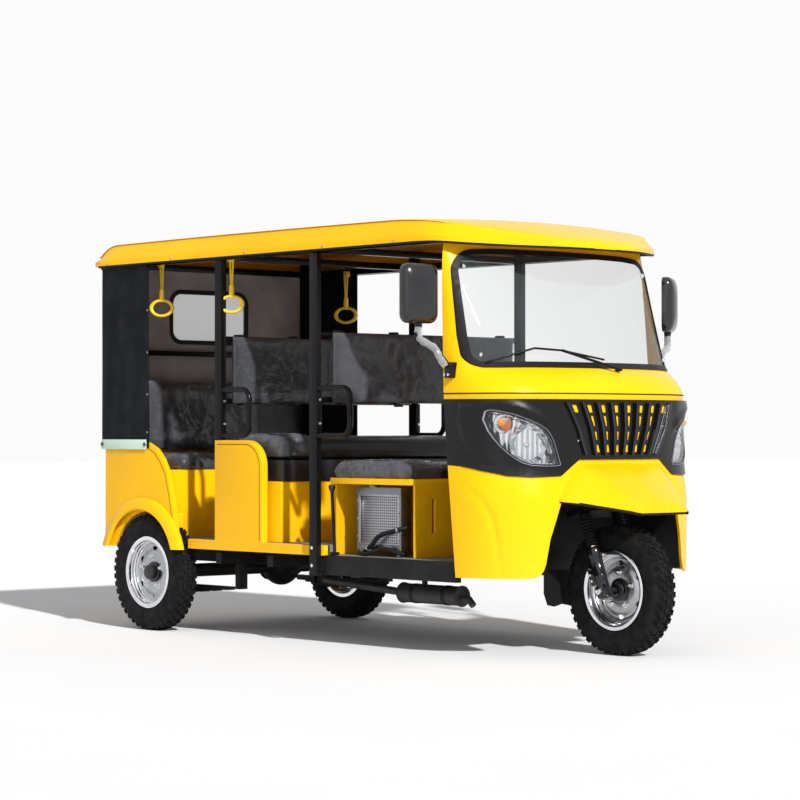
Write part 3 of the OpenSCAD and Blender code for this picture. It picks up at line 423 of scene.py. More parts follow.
def block_ring(bm, centre, count, turn, low, high, bevel):
    """Blocks that stand on a circle round the Y axis at a centre. The corners are from that centre."""
    one = bmesh.new()
    box_at(one, low, high, bevel, 1)
    bmesh.ops.transform(one, verts=one.verts, matrix=Matrix.Translation(centre) @ Matrix.Rotation(turn, 4, "Y"))
    bmesh.ops.spin(one, geom=one.verts[:] + one.edges[:] + one.faces[:], cent=centre, axis=(0, 1, 0),
                   angle=math.tau * (count - 1) / count, steps=count - 1, use_duplicate=True)
    add_to(bm, one)


def add_to(bm, other):
    """Put one bmesh into another and free it."""
    mesh = bpy.data.meshes.new("part")
    other.to_mesh(mesh)
    other.free()
    bm.from_mesh(mesh)
    bpy.data.meshes.remove(mesh)


def tidy_normals(bm):
    bmesh.ops.remove_doubles(bm, verts=bm.verts, dist=MERGE)
    bmesh.ops.recalc_face_normals(bm, faces=bm.faces)


def rod(bm, start, end, radius, sides, radius_end=None):
    """A round bar between two points."""
    start, end = Vector(start), Vector(end)
    way = end - start
    made = bmesh.ops.create_cone(bm, cap_ends=True, segments=sides, radius1=radius,
                                 radius2=radius_end or radius, depth=way.length)["verts"]
    turn = way.to_track_quat("Z", "Y").to_matrix().to_4x4()
    bmesh.ops.transform(bm, verts=made, matrix=Matrix.Translation((start + end) / 2) @ turn)


# Properties

class TricycleColours(bpy.types.PropertyGroup):
    body: FloatVectorProperty(name="Body", description="Paint of the body and roof", subtype="COLOR", min=0, max=1,
                              default=(0.93, 0.49, 0.002))
    frame: FloatVectorProperty(name="Frame", description="Paint of the frames and the chassis", subtype="COLOR",
                               min=0, max=1, default=(0.008, 0.008, 0.010))
    plastic: FloatVectorProperty(name="Plastic", description="Black moulded plastic", subtype="COLOR", min=0, max=1,
                                 default=(0.011, 0.012, 0.015))


class TricycleWheels(bpy.types.PropertyGroup):
    tread_depth: FloatProperty(name="Tread depth", description="Depth of the tread blocks", subtype="DISTANCE",
                               unit="LENGTH", default=0.007, min=0.002, max=0.015)
    tread_blocks: IntProperty(name="Tread blocks", description="Blocks in one row round a tyre", default=44, min=20,
                              max=80)
    nuts: IntProperty(name="Wheel nuts", description="Nuts on a hub", default=5, min=3, max=8)


class TricycleStage(bpy.types.PropertyGroup):
    floor: FloatVectorProperty(name="Floor", description="Colour of the floor", subtype="COLOR", min=0, max=1,
                               default=(0.86, 0.86, 0.86))
    key: FloatProperty(name="Key light", description="Strength of the main light", default=4.5, min=0, max=20)


# Operators

class TRICYCLE_OT_finishes(bpy.types.Operator):
    """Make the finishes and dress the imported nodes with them"""
    bl_idname = "tricycle.finishes"
    bl_label = "Finishes"

    def execute(self, context):
        FINISHES.update(make_finishes(context.scene.tricycle_colours))
        for key, names in FINISH_OF_NODE.items():
            for name in names.split():
                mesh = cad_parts[name].data
                mesh.materials.clear()
                mesh.materials.append(FINISHES[key])
        return {"FINISHED"}


class TRICYCLE_OT_stage(bpy.types.Operator):
    """Make the floor, the lights and the camera"""
    bl_idname = "tricycle.stage"
    bl_label = "Stage"

    def execute(self, context):
        scene = context.scene
        settings = scene.tricycle_stage
        n = Nodes("studio floor")
        tint = n.ramp(n.noise(0.8, 4.0), (0.3, shade(settings.floor, 0.98)), (0.7, tuple(settings.floor)))
        n.link(tint, "Base Color")
        n.fixed(Roughness=0.9)
        floor = bpy.data.meshes.new("studio_floor")
        bm = bmesh.new()
        bmesh.ops.create_grid(bm, x_segments=1, y_segments=1, size=60.0)
        bm.to_mesh(floor)
        bm.free()
        floor.materials.append(n.material)
        ground = bpy.data.objects.new("studio_floor", floor)
        scene.collection.objects.link(ground)
        ground.location.z = -0.0005

        world = bpy.data.worlds.new("studio")
        world.use_nodes = True
        scene.world = world
        tree = world.node_tree
        tree.nodes.clear()
        path = add_node(tree, "LightPath").outputs
        lit = add_node(tree, "Background", {"Color": (0.95, 0.97, 1.0, 1), "Strength": 0.36})
        white = add_node(tree, "Background", {"Color": (0.97, 0.97, 0.97, 1)})
        # What bright metal mirrors: grey ground, a dark horizon and a bright sky.
        split = add_node(tree, "SeparateXYZ", {0: add_node(tree, "TexCoord").outputs["Generated"]})
        half = add_node(tree, "MapRange", {"Value": split.outputs["Z"], "From Min": -1.0})
        bands = add_node(tree, "ValToRGB", {0: half.outputs[0]})
        points = bands.color_ramp.elements
        for at, value in ((0.0, 0.60), (0.46, 0.45), (0.50, 0.08), (0.57, 0.12), (0.64, 0.70), (0.80, 1.0)):
            point = points[0] if at == 0.0 else points[1] if at == 0.80 else points.new(at)
            point.position = at
            point.color = (value, value, value * 1.04, 1)
        sky = add_node(tree, "Background", {"Color": bands.outputs[0]})
        seen = add_node(tree, "Math", {0: path["Is Camera Ray"], 1: path["Is Transmission Ray"]}, operation="MAXIMUM")
        first = add_node(tree, "MixShader", {0: path["Is Glossy Ray"], 1: lit.outputs[0], 2: sky.outputs[0]})
        last = add_node(tree, "MixShader", {0: seen.outputs[0], 1: first.outputs[0], 2: white.outputs[0]})
        add_node(tree, "OutputWorld", {"Surface": last.outputs[0]})

        def sun(name, way, strength, angle):
            lamp = bpy.data.lights.new(name, "SUN")
            lamp.energy = strength
            lamp.angle = math.radians(angle)
            holder = bpy.data.objects.new(name, lamp)
            holder.rotation_euler = Vector(way).to_track_quat("-Z", "Y").to_euler()
            scene.collection.objects.link(holder)

        sun("key", (-0.80, 0.26, -0.54), settings.key, 2.0)
        sun("fill", (-0.45, 0.80, -0.40), 0.30, 50.0)

        camera = bpy.data.cameras.new("camera")
        camera.sensor_width = 36.0
        camera.lens = 118.68
        camera.shift_y = -0.0025
        camera.clip_end = 300.0
        holder = bpy.data.objects.new("camera", camera)
        scene.collection.objects.link(holder)
        azimuth, elevation = math.radians(48.122), math.radians(-0.729)
        back = Vector((math.sin(azimuth) * math.cos(elevation), -math.cos(azimuth) * math.cos(elevation),
                       math.sin(elevation)))
        holder.location = (8.987, -8.136, 0.943)
        holder.rotation_euler = (-back).to_track_quat("-Z", "Y").to_euler()
        scene.camera = holder
        scene.view_settings.view_transform = "Standard"
        return {"FINISHED"}


class TRICYCLE_OT_tyres(bpy.types.Operator):
    """Make the three tyres with their block tread"""
    bl_idname = "tricycle.tyres"
    bl_label = "Tyres"

    def execute(self, context):
        wheels = context.scene.tricycle_wheels
        deep = wheels.tread_depth
        r, w = TYRE_RADIUS, TYRE_WIDTH / 2
        half = [(0.153, 0.041), (0.172, 0.0445), (0.180, 0.050), (0.195, 0.0545), (0.212, w - 0.0015),
                (0.228, w - 0.0005), (0.243, w - 0.004), (0.256, w - 0.0115), (r - deep - 0.003, w - 0.0165),
                (r - deep, w - 0.030), (r - deep + 0.001, 0.0)]
        profile = [(a, -b) for a, b in half] + [(a, b) for a, b in half[-2::-1]]
        for node, centre, body in WHEELS:
            bm = bmesh.new()
            spun(bm, profile, centre, 96)
            tidy_normals(bm)
            count = wheels.tread_blocks
            pitch = math.tau / count
            long = r * pitch
            # Three rows of centre blocks, and shoulder blocks that wrap down the side.
            for y, wide, turn in ((0.0, 0.020, 0.0), (0.0245, 0.017, 0.5), (-0.0245, 0.017, 0.5)):
                block_ring(bm, centre, count, turn * pitch, (-long * 0.31, y - wide / 2, r - deep - 0.004),
                           (long * 0.31, y + wide / 2, r), 0.0012)
            shoulders = ((0.0375, w - 0.0135, 0.31, r - deep - 0.013, r - 0.0015),
                         (w - 0.026, w - 0.0105, 0.27, r - 0.034, r - 0.010))
            for side in (-1, 1):
                for near, far, share, foot, top in shoulders:
                    y0, y1 = sorted((side * near, side * far))
                    block_ring(bm, centre, count, 0.25 * pitch, (-long * share, y0, foot), (long * share, y1, top),
                               0.0012)
            finish_piece(node + "_rubber", bm, "tyre", body, [node], angle=40.0)
        return {"FINISHED"}


# The cab's curved skin. Its rows: height, where the front's curve starts, its depth, half the width, its power

CAB_ROWS = [(0.335, 0.889, 0.450, 0.632, 2.7), (0.640, 0.889, 0.450, 0.637, 2.7), (0.820, 0.862, 0.450, 0.640, 2.7),
            (1.102, 0.862, 0.455, 0.640, 2.7), (1.165, 0.877, 0.412, 0.638, 2.4), (1.220, 0.901, 0.310, 0.635, 2.0),
            (1.762, 0.834, 0.100, 0.619, 2.0)]
CAB_LOW, PANE_LOW, CAB_HIGH = 0.335, 1.22, 1.762
CAB_BACK = 0.780
SKIN_CLEAR = 0.0003
BELT_Z = 1.102
MASK_TOP = 1.078
LAMP = [(-0.600, 0.990), (-0.596, 1.022), (-0.590, 1.027), (-0.580, 1.0275), (-0.559, 1.022), (-0.528, 1.0125),
        (-0.498, 1.000), (-0.462, 0.984), (-0.430, 0.968), (-0.407, 0.952), (-0.391, 0.933), (-0.376, 0.906),
        (-0.360, 0.858), (-0.347, 0.815), (-0.349, 0.808), (-0.358, 0.8060), (-0.405, 0.8045), (-0.461, 0.8075),
        (-0.492, 0.817), (-0.518, 0.834), (-0.541, 0.857), (-0.562, 0.885), (-0.577, 0.913), (-0.590, 0.945)]
LAMP_MIDDLE = (-0.475, 0.915)
GRILLE_HALF = [(0.0, 0.838), (0.208, 0.838), (0.318, 1.070), (0.0, 1.070)]
MASK_HALF = [(0.0, 0.826), (0.246, 0.826), (0.341, 0.759), (0.466, 0.754), (0.547, 0.760), (0.605, 0.780),
             (0.660, 0.815), (0.660, MASK_TOP), (0.0, MASK_TOP)]
WHEEL_ARCH_HALF = [(0.0, 0.300), (0.478, 0.300), (0.476, 0.336), (0.455, 0.339), (0.437, 0.349), (0.425, 0.366),
                   (0.416, 0.392), (0.398, 0.496), (0.346, 0.662), (0.300, 0.690), (0.0, 0.690)]


def between(rows, at):
    """The row at a place, by a smooth line through rows that each begin with their own place."""
    k = max(i for i in range(len(rows) - 1) if i == 0 or rows[i][0] <= at)
    low, high = rows[k], rows[k + 1]
    span = high[0] - low[0]
    t = (at - low[0]) / span

    def slope(i, c):
        if i == 0 or i == len(rows) - 1:
            j = 0 if i == 0 else len(rows) - 2
            return (rows[j + 1][c] - rows[j][c]) / (rows[j + 1][0] - rows[j][0])
        before = (rows[i][c] - rows[i - 1][c]) / (rows[i][0] - rows[i - 1][0])
        after = (rows[i + 1][c] - rows[i][c]) / (rows[i + 1][0] - rows[i][0])
        return 0.0 if before * after <= 0 else 2 * before * after / (before + after)

    out = [at]
    for c in range(1, len(low)):
        a, b, ma, mb = low[c], high[c], slope(k, c) * span, slope(k + 1, c) * span
        out.append(a + ma * t + (3 * (b - a) - 2 * ma - mb) * t ** 2 + (2 * (a - b) + ma + mb) * t ** 3)
    return out


def cab_row(z):
    """The skin's numbers at a height: the windscreen's part is straight, and the rest is faired."""
    if z >= PANE_LOW:
        t = (z - PANE_LOW) / (CAB_HIGH - PANE_LOW)
        return [z] + [a + (b - a) * t for a, b in zip(CAB_ROWS[5][1:], CAB_ROWS[6][1:])]
    return between(CAB_ROWS[:6], z)


def cab_ring(z, d, steps):
    """The skin's plan at a height, moved outwards by d."""
    _, x0, a, w, p = cab_row(z)
    ring = [(CAB_BACK, -w - d, z)]
    for i in range(-steps, steps + 1):
        t = math.radians(90 * i / steps)
        across = math.copysign(abs(math.sin(t)) ** (2 / p), t) if i else 0.0
        ring.append((x0 + (a + d) * max(0.0, math.cos(t)) ** (2 / p), (w + d) * across, z))
    return ring + [(CAB_BACK, w + d, z)]


def stacked(rings):
    """A closed skin through rings of points, bridged one to the next."""
    bm = bmesh.new()
    loops = []
    for ring in rings:
        verts = [bm.verts.new(p) for p in ring]
        loops.append([bm.edges.new((verts[i - 1], verts[i])) for i in range(len(verts))])
    for low, high in zip(loops, loops[1:]):
        bmesh.ops.bridge_loops(bm, edges=low + high)
    for loop in (loops[0], loops[-1]):
        bmesh.ops.contextual_create(bm, geom=loop)
    bmesh.ops.recalc_face_normals(bm, faces=bm.faces)
    return bm


def cab_skin(d, low, high, steps=40, pitch=0.03):
    """The solid inside the cab's skin, moved outwards by d."""
    count = max(2, round((high - low) / pitch))
    return stacked([cab_ring(low + (high - low) * i / count, d, steps) for i in range(count + 1)])


def prism(outline, low=1.0, high=1.5, way="X"):
    """An outline of two coordinates, drawn out along X or Y."""
    bm = bmesh.new()
    verts = [bm.verts.new((low, a, b) if way == "X" else (a, low, b)) for a, b in outline]
    face = bm.faces.new(verts)
    made = bmesh.ops.extrude_face_region(bm, geom=[face])["geom"]
    shift = (high - low, 0, 0) if way == "X" else (0, high - low, 0)
    bmesh.ops.translate(bm, verts=[v for v in made if isinstance(v, bmesh.types.BMVert)], vec=shift)
    bmesh.ops.recalc_face_normals(bm, faces=bm.faces)
    return bm


def mirrored(half):
    """A whole outline from its half on the left."""
    return list(half) + [(-y, z) for y, z in reversed(half) if y]


def opposite(outline):
    """An outline's twin on the other side."""
    return [(-y, z) for y, z in reversed(outline)]


def near_lamp(k):
    """The right lamp's outline, made larger or smaller about its middle."""
    y0, z0 = LAMP_MIDDLE
    return [((y - y0) * k + y0, (z - z0) * k + z0) for y, z in LAMP]


def loose_object(bm, name="shape"):
    mesh = bpy.data.meshes.new(name)
    bm.to_mesh(mesh)
    bm.free()
    thing = bpy.data.objects.new(name, mesh)
    bpy.context.scene.collection.objects.link(thing)
    return thing


def carve(bm, *steps):
    """A closed shape after cuts: each step is DIFFERENCE, INTERSECT or UNION and a closed shape."""
    base = loose_object(bm)
    tools = []
    for operation, tool in steps:
        tools.append(loose_object(tool))
        modifier = base.modifiers.new("cut", "BOOLEAN")
        modifier.object = tools[-1]
        modifier.operation = operation
        modifier.solver = "EXACT"
    graph = bpy.context.evaluated_depsgraph_get()
    result = bmesh.new()
    result.from_mesh(base.evaluated_get(graph).to_mesh())
    for thing in (base, *tools):
        mesh = thing.data
        bpy.data.objects.remove(thing)
        bpy.data.meshes.remove(mesh)
    bmesh.ops.remove_doubles(result, verts=result.verts, dist=MERGE)
    bmesh.ops.dissolve_degenerate(result, edges=result.edges, dist=MERGE)
    return result


def minus(shape):
    return "DIFFERENCE", shape


def within(shape):
    return "INTERSECT", shape


def skin_shell(outer, inner, *cuts, steps=60, pitch=0.03):
    """What lies between two cab skins, each given by offset, low and high, after cuts."""
    return carve(cab_skin(*outer, steps, pitch), minus(cab_skin(*inner, steps)), *cuts)


def off_cab(bm, low, high, steps=40):
    """A closed shape without what the cab's skin takes up."""
    return carve(bm, minus(cab_skin(SKIN_CLEAR, low, high, steps)))


def soften(piece, width=0.0015, segments=2, angle=32.0):
    """Round a piece's sharp edges."""
    for edge in piece.data.edges:
        edge.use_edge_sharp = False
    modifier = piece.modifiers.new("edges", "BEVEL")
    modifier.width = width
    modifier.segments = segments
    modifier.limit_method = "ANGLE"
    modifier.angle_limit = math.radians(angle)
    modifier.harden_normals = True
    modifier.use_clamp_overlap = True
    return piece


def rear_cut():
    """What lies behind the cab's slanted rear edge."""
    return prism([(0.70, 0.30), (0.961, 0.30), (0.961, 0.335), (0.899, BELT_Z), (0.857, 1.80), (0.70, 1.80)], -0.9,
                 0.9, "Y")


def skin_offset(point):
    """How far a point stands off the cab's skin, and the way outwards there."""
    _, x0, a, w, p = cab_row(point.z)
    x, y = max(0.0, point.x - x0), abs(point.y)
    low, high = -0.09, 0.05
    for _ in range(22):
        d = (low + high) / 2
        if (x / (a + d)) ** p + (y / (w + d)) ** p > 1:
            low = d
        else:
            high = d
    way = Vector(((x / a) ** (p - 1) / a, math.copysign((y / w) ** (p - 1) / w, point.y), 0))
    return low, way.normalized()


def along(line, value):
    """The first coordinate of a line of pairs at a value of the second, or None off its ends."""
    for (a, b), (c, d) in zip(line, line[1:]):
        if min(b, d) <= value <= max(b, d) and b != d:
            return a + (c - a) * (value - b) / (d - b)
    return None


def ease(t):
    """A smooth step from 0 to 1."""
    t = min(1.0, max(0.0, t))
    return t * t * (3 - 2 * t)


BROW = [(0.640, 1.058), (0.569, 1.055), (0.483, 1.023), (0.412, 0.983), (0.351, 0.947), (0.335, 0.935)]
WING = [(0.997, 1.065), (0.983, 0.983), (1.005, 0.923), (1.038, 0.867), (1.114, 0.811), (1.150, 0.800)]
LEG_CREASE = [(0.950, 0.750), (0.980, 0.739), (1.029, 0.711), (1.095, 0.663), (1.133, 0.599), (1.153, 0.499),
              (1.165, 0.395), (1.168, 0.330)]


def mask_relief(point):
    """Height of the mask's brow above the lamps, and the set back wing at the sides."""
    y, z = abs(point.y), point.z
    rise = 0.0
    for (y0, z0), (y1, z1) in zip(BROW, BROW[1:]):
        if y1 <= y <= y0:
            line = z0 + (z1 - z0) * (y - y0) / (y1 - y0)
            fade = ease((y - 0.335) / 0.06)
            rise = 0.012 * ease((z - line + 0.012) / 0.016) * (1 - 0.65 * ease((z - line) / 0.05)) * fade
    wing = along(WING, z)
    if wing is not None and y > 0.5:
        rise -= 0.0045 * ease((wing - point.x + 0.006) / 0.012)
    return rise


def leg_relief(point):
    """A soft valley that runs down each leg of the cowl."""
    line = along(LEG_CREASE, point.z)
    if line is None or abs(point.y) < 0.5:
        return 0.0
    gap = point.x - line
    fade = ease((0.745 - point.z) / 0.05) * (0.35 + 0.65 * ease((point.z - 0.33) / 0.2))
    return -0.006 * fade * (ease((gap + 0.028) / 0.028) if gap < 0 else 1 - ease(gap / 0.010))


def press(bm, relief, outer):
    """Move the outer skin's points of a cab piece by a relief."""
    for vert in bm.verts:
        gap, way = skin_offset(vert.co)
        if gap > outer:
            vert.co += way * relief(vert.co)


class TRICYCLE_OT_cab(bpy.types.Operator):
    """Make the cowl, the windscreen's frame, its seal and glass, and the black mask"""
    bl_idname = "tricycle.cab"
    bl_label = "Cab"

    def execute(self, context):
        lamp_holes = [minus(prism(outline)) for outline in (LAMP, opposite(LAMP))]
        cowl = carve(cab_skin(0.0, CAB_LOW, BELT_Z, 60, 0.016), minus(cab_skin(-0.012, 0.30, 1.15)),
                     minus(rear_cut()),
                     minus(prism(mirrored(WHEEL_ARCH_HALF))), *lamp_holes)
        press(cowl, leg_relief, -0.002)
        soften(finish_piece("cowl", cowl, "yellow", replaces=["cab_cowl"]), 0.003, 3)

        frame = skin_shell((0.0, BELT_Z + SKIN_CLEAR, CAB_HIGH), (-0.012, 1.05, 1.80), minus(rear_cut()),
                           minus(prism(screen_outline(0.0), 0.70)))
        soften(finish_piece("screen_frame", frame, "yellow", replaces=["windscreen_frame"]), 0.003, 3)
        seal = skin_shell((0.007, 1.15, 1.80), (SKIN_CLEAR, 1.10, 1.85), within(prism(screen_outline(0.007), 0.70)),
                          minus(prism(screen_outline(-0.017), 0.69, 1.6)))
        soften(finish_piece("screen_seal", seal, "seal", replaces=["windscreen_seal"]), 0.0028, 3)
        glass = skin_shell((0.0, 1.15, CAB_HIGH), (-0.005, 1.10, 1.80), within(prism(screen_outline(-0.0004), 0.70)))
        finish_piece("screen", glass, "glass", replaces=["windscreen_glass"])

        # The belt seam: a black strip in the joint, above the mask's yellow band.
        belt = skin_shell((0.0022, BELT_Z - 0.0025, BELT_Z + 0.0025), (-0.004, 1.05, 1.15), minus(rear_cut()),
                          pitch=0.005)
        finish_piece("belt_seal", belt, "seal")

        lamp_holes = [minus(prism(outline)) for outline in (LAMP, opposite(LAMP))]
        mask = skin_shell((0.007, 0.74, 1.10), (SKIN_CLEAR, 0.70, 1.15), within(prism(mirrored(MASK_HALF), 0.70)),
                          *lamp_holes, minus(prism(mirrored(GRILLE_HALF))), minus(rear_cut()), steps=84, pitch=0.008)
        press(mask, mask_relief, 0.005)
        soften(finish_piece("mask", mask, "plastic", replaces=["front_mask"]), 0.0025, 3, 40)
        return {"FINISHED"}


def arc(centre, radius, start, end, steps=8):
    """Points on an arc between two angles in degrees."""
    turns = [math.radians(start + (end - start) * i / steps) for i in range(steps + 1)]
    return [(centre[0] + radius * math.cos(t), centre[1] + radius * math.sin(t)) for t in turns]


def rounded(w, h, r, z=0.0):
    """A rectangle with round corners, from its half width and half height, about a height."""
    corners = ((w - r, h - r, 0), (r - w, h - r, 90), (r - w, r - h, 180), (w - r, r - h, 270))
    return [(a, b + z) for y0, z0, start in corners for a, b in arc((y0, z0), r, start, start + 90)]


def screen_outline(d):
    """The windscreen opening, grown by d."""
    low_corner = arc((0.552, 1.270), 0.054 + d, -80, -4)
    high_corner = arc((0.488, 1.602), 0.104 + d, 8, 84, 12)
    return mirrored([(0.0, 1.219 - d), (0.380, 1.219 - d), (0.500, 1.217 - d), *low_corner, (0.606 + d, 1.345),
                     (0.597 + d, 1.520), *high_corner, (0.400, 1.711 + d), (0.0, 1.714 + d)])


class TRICYCLE_OT_lamps(bpy.types.Operator):
    """Make the headlamps with their reflectors, turn signals, lenses and bezels, and a steel line round each lamp as
    a painted highlight
    """
    bl_idname = "tricycle.lamps"
    bl_label = "Lamps"

    def execute(self, context):
        tubs, lenses, bezels, lines = (bmesh.new() for _ in range(4))
        for flip in (list, opposite):
            def lamp(scale, low=0.9, high=1.5):
                return prism(flip(near_lamp(scale)), low, high)

            room = carve(lamp(0.95), minus(cab_skin(-0.050, 0.65, 1.20)))
            add_to(tubs, skin_shell((-0.0123, 0.70, 1.15), (-0.062, 0.65, 1.20), within(lamp(1.07)), minus(room),
                                    steps=40))
            add_to(lenses, skin_shell((0.0062, 0.70, 1.15), (0.0032, 0.65, 1.20), within(lamp(0.985))))
            # The second ring is a thin steel line round each lamp: a painted highlight on the lamp's edge.
            for ring, inside, outside, base, top in ((bezels, 0.974, 1.030, -0.0135, 0.0090),
                                                     (lines, 1.034, 1.050, 0.0040, 0.0094)):
                add_to(ring, skin_shell((top, 0.70, 1.15), (base, 0.65, 1.20), within(lamp(outside)),
                                        minus(lamp(inside, 0.8, 1.6))))
        bowls, ambers = bmesh.new(), bmesh.new()
        for side in (-1, 1):
            dish(bowls, (1.205, side * 0.447, 0.888), (0.94, side * 0.34, 0.0), 0.083, 0.052)
            dish(bowls, (1.155, side * 0.545, 0.975), (0.85, side * 0.53, 0.0), 0.038, 0.022)
            ball(ambers, (1.160, side * 0.556, 0.982), 0.019, (0.7, 1, 0.8))
            ball(bowls, (1.192, side * 0.443, 0.888), 0.013)
        finish_piece("lamp_backing", tubs, "fluted", replaces=["headlamp_bowls"], angle=40)
        finish_piece("lamp_reflectors", bowls, "bowl", angle=40)
        finish_piece("turn_bulbs", ambers, "amber")
        finish_piece("lamp_lenses", lenses, "lens", replaces=["headlamp_lenses"], angle=40)
        soften(finish_piece("lamp_bezels", bezels, "gloss"), 0.0012, 2)
        # Painted highlight: the steel lines round the lamps.
        soften(finish_piece("lamp_highlight_lines", lines, "steel"), 0.0010, 2)
        return {"FINISHED"}


def turned(bm, profile, place, way, steps=32):
    """A closed profile of (radius, along) pairs turned round an axis at a place."""
    one = bmesh.new()
    verts = [one.verts.new((r, 0, h)) for r, h in profile]
    edges = [one.edges.new((verts[i - 1], verts[i])) for i in range(len(verts))]
    bmesh.ops.spin(one, geom=verts + edges, cent=(0, 0, 0), axis=(0, 0, 1), angle=math.tau, steps=steps,
                   use_merge=True)
    bmesh.ops.remove_doubles(one, verts=one.verts, dist=MERGE)
    bmesh.ops.dissolve_degenerate(one, edges=one.edges, dist=MERGE)
    turn = Vector(way).to_track_quat("Z", "Y").to_matrix().to_4x4()
    bmesh.ops.transform(one, verts=one.verts, matrix=Matrix.Translation(place) @ turn)
    bmesh.ops.recalc_face_normals(one, faces=one.faces)
    add_to(bm, one)


def dish(bm, place, way, radius, depth):
    """A reflector that is open towards its way."""
    inner = [(radius * i / 8, depth * (i / 8) ** 2 - depth) for i in range(9)]
    outer = [(r + 0.002, h - 0.003) for r, h in reversed(inner)]
    turned(bm, [(0.0, inner[0][1])] + inner[1:] + outer[:-1] + [(0.0, outer[-1][1])], place, way, 48)


def ball(bm, place, radius, squash=(1, 1, 1)):
    made = bmesh.ops.create_uvsphere(bm, u_segments=20, v_segments=12, radius=radius)["verts"]
    bmesh.ops.transform(bm, verts=made, matrix=Matrix.Translation(place) @ Matrix.Diagonal((*squash, 1)))


def strip(line, half):
    """A bar along X whose section follows a rising line of (y, z) points."""
    return prism([(y - half, z) for y, z in line] + [(y + half, z) for y, z in reversed(line)])


class TRICYCLE_OT_grille(bpy.types.Operator):
    """Make the grille's slotted plate, its bent ribs, and bright trims beside its left edge only, which are partly a
    painted highlight
    """
    bl_idname = "tricycle.grille"
    bl_label = "Grille"

    def execute(self, context):
        def bend(k, z):
            return k * (0.055 + (z - 0.850) * 0.115) + 0.009 * (1 - abs(z - 0.955) / 0.110)

        edge = mirrored([(0.0, 0.8383), (0.2077, 0.8383), (0.3177, 1.0697), (0.0, 1.0697)])
        holes = bmesh.new()
        for low, high, count, foot, head in ((1.023, 1.055, 4, 0.0105, 0.0125), (0.966, 1.010, 3, 0.0050, 0.0090),
                (0.908, 0.945, 3, 0.0045, 0.0070), (0.8565, 0.889, 3, 0.0105, 0.0060)):
            for i in range(-count, count):
                k = i + 0.5
                a, b = bend(k, low), bend(k, high)
                add_to(holes, prism([(a - foot, low), (a + foot, low), (b + head, high), (b - head, high)]))
        plate = carve(prism(edge), minus(holes), within(cab_skin(0.006, 0.80, 1.10, 60)),
                      minus(cab_skin(SKIN_CLEAR, 0.75, 1.15, 60)))
        soften(finish_piece("grille_plate", plate, "plastic", replaces=["grille"]), 0.001, 2)
        ribs = bmesh.new()
        levels = (0.844, 0.955, 1.064)
        for k in range(-4, 5):
            add_to(ribs, strip([(bend(k, z), z) for z in levels], 0.0065))
        ribs = carve(ribs, within(cab_skin(0.019, 0.80, 1.10, 60)), minus(cab_skin(0.004, 0.75, 1.15, 60)))
        assert len(ribs.faces) > 100, "the grille's ribs are missing"
        soften(finish_piece("grille_ribs", ribs, "gloss"), 0.0018, 2)
        # Two bright steel strips beside the grille's left edge only: partly trim, partly a painted highlight where
        # that edge catches the light.
        trims = bmesh.new()
        for shift in (0.0, -0.016):
            line = [(0.214 + shift, 0.850), (0.262 + shift * 0.9, 0.955), (0.308 + shift, 1.058)]
            add_to(trims, strip(line, 0.0022))
        trims = skin_shell((0.0085, 0.80, 1.10), (0.0045, 0.75, 1.15), within(trims))
        finish_piece("grille_trim_highlights", trims, "steel")
        return {"FINISHED"}


ROOF_ROWS = [(-1.584, 0.655, 0.600, 1.746, 1.796, 1.800), (-1.515, 0.668, 0.600, 1.746, 1.836, 1.850),
             (-1.440, 0.670, 0.602, 1.746, 1.850, 1.868), (-0.400, 0.670, 0.604, 1.746, 1.854, 1.870),
             (0.560, 0.670, 0.604, 1.746, 1.852, 1.870), (0.760, 0.667, 0.592, 1.746, 1.842, 1.862),
             (0.857, 0.650, 0.568, 1.744, 1.830, 1.852), (0.950, 0.595, 0.512, 1.736, 1.812, 1.836),
             (1.020, 0.518, 0.436, 1.730, 1.796, 1.819), (1.090, 0.418, 0.342, 1.725, 1.778, 1.798),
             (1.150, 0.322, 0.250, 1.722, 1.762, 1.778), (1.195, 0.226, 0.162, 1.720, 1.748, 1.760),
             (1.220, 0.110, 0.060, 1.719, 1.736, 1.742)]
GUARD_ROWS = [(1.250, 0.378, 0.262, 0.655, 0.828, 0.832), (1.320, 0.348, 0.232, 0.649, 0.792, 0.806),
              (1.375, 0.300, 0.202, 0.640, 0.754, 0.774), (1.430, 0.252, 0.174, 0.628, 0.714, 0.736),
              (1.500, 0.196, 0.150, 0.614, 0.666, 0.684), (1.540, 0.162, 0.132, 0.605, 0.638, 0.652),
              (1.556, 0.150, 0.122, 0.600, 0.624, 0.636)]


def through(points, steps=6):
    """More points on a smooth line through points."""
    out = []
    for i in range(len(points) - 1):
        before, a, b, after = (Vector(points[max(0, min(len(points) - 1, j))]) for j in (i - 1, i, i + 1, i + 2))
        for k in range(steps):
            t = k / steps
            out.append(0.5 * (2 * a + (b - before) * t + (2 * before - 5 * a + 4 * b - after) * t * t
                              + (3 * a - before - 3 * b + after) * t ** 3))
    return out + [Vector(points[-1])]


def roof_half(row, d):
    """Half the roof's line at a row, from the edge to the middle, moved inwards by d."""
    _, w0, w1, z0, z1, z2 = row
    w0, w1 = w0 - d, w1 - d / 2
    rise = z1 - z0
    line = [(w0, z0), (w0, z0 + min(0.022, 0.45 * rise) - d / 4),
            (w1 + (w0 - w1) * 0.42, z1 - min(0.016, 0.25 * rise) - d), (w1, z1 - d), (w1 * 0.5, z2 - 0.005 - d),
            (0.0, z2 - d)]
    return [line[0], line[1], *[tuple(p) for p in through(line[1:], 4)[1:]]]


def guard_half(row, d):
    """Half the beak's line at a row, from the edge to the middle, moved inwards by d."""
    _, w, v, z0, z1, z2 = row
    w, v = w - d, v - d / 2
    line = [(w, z0), (w - 0.001, z0 + 0.015 - d / 3), (v + (w - v) * 0.52, z0 + (z1 - z0) * 0.62 - d / 2),
            (v, z1 - d), (v * 0.5, (z1 + z2) / 2 + 0.003 - d), (0.0, z2 - d)]
    return [tuple(p) for p in through(line, 4)]


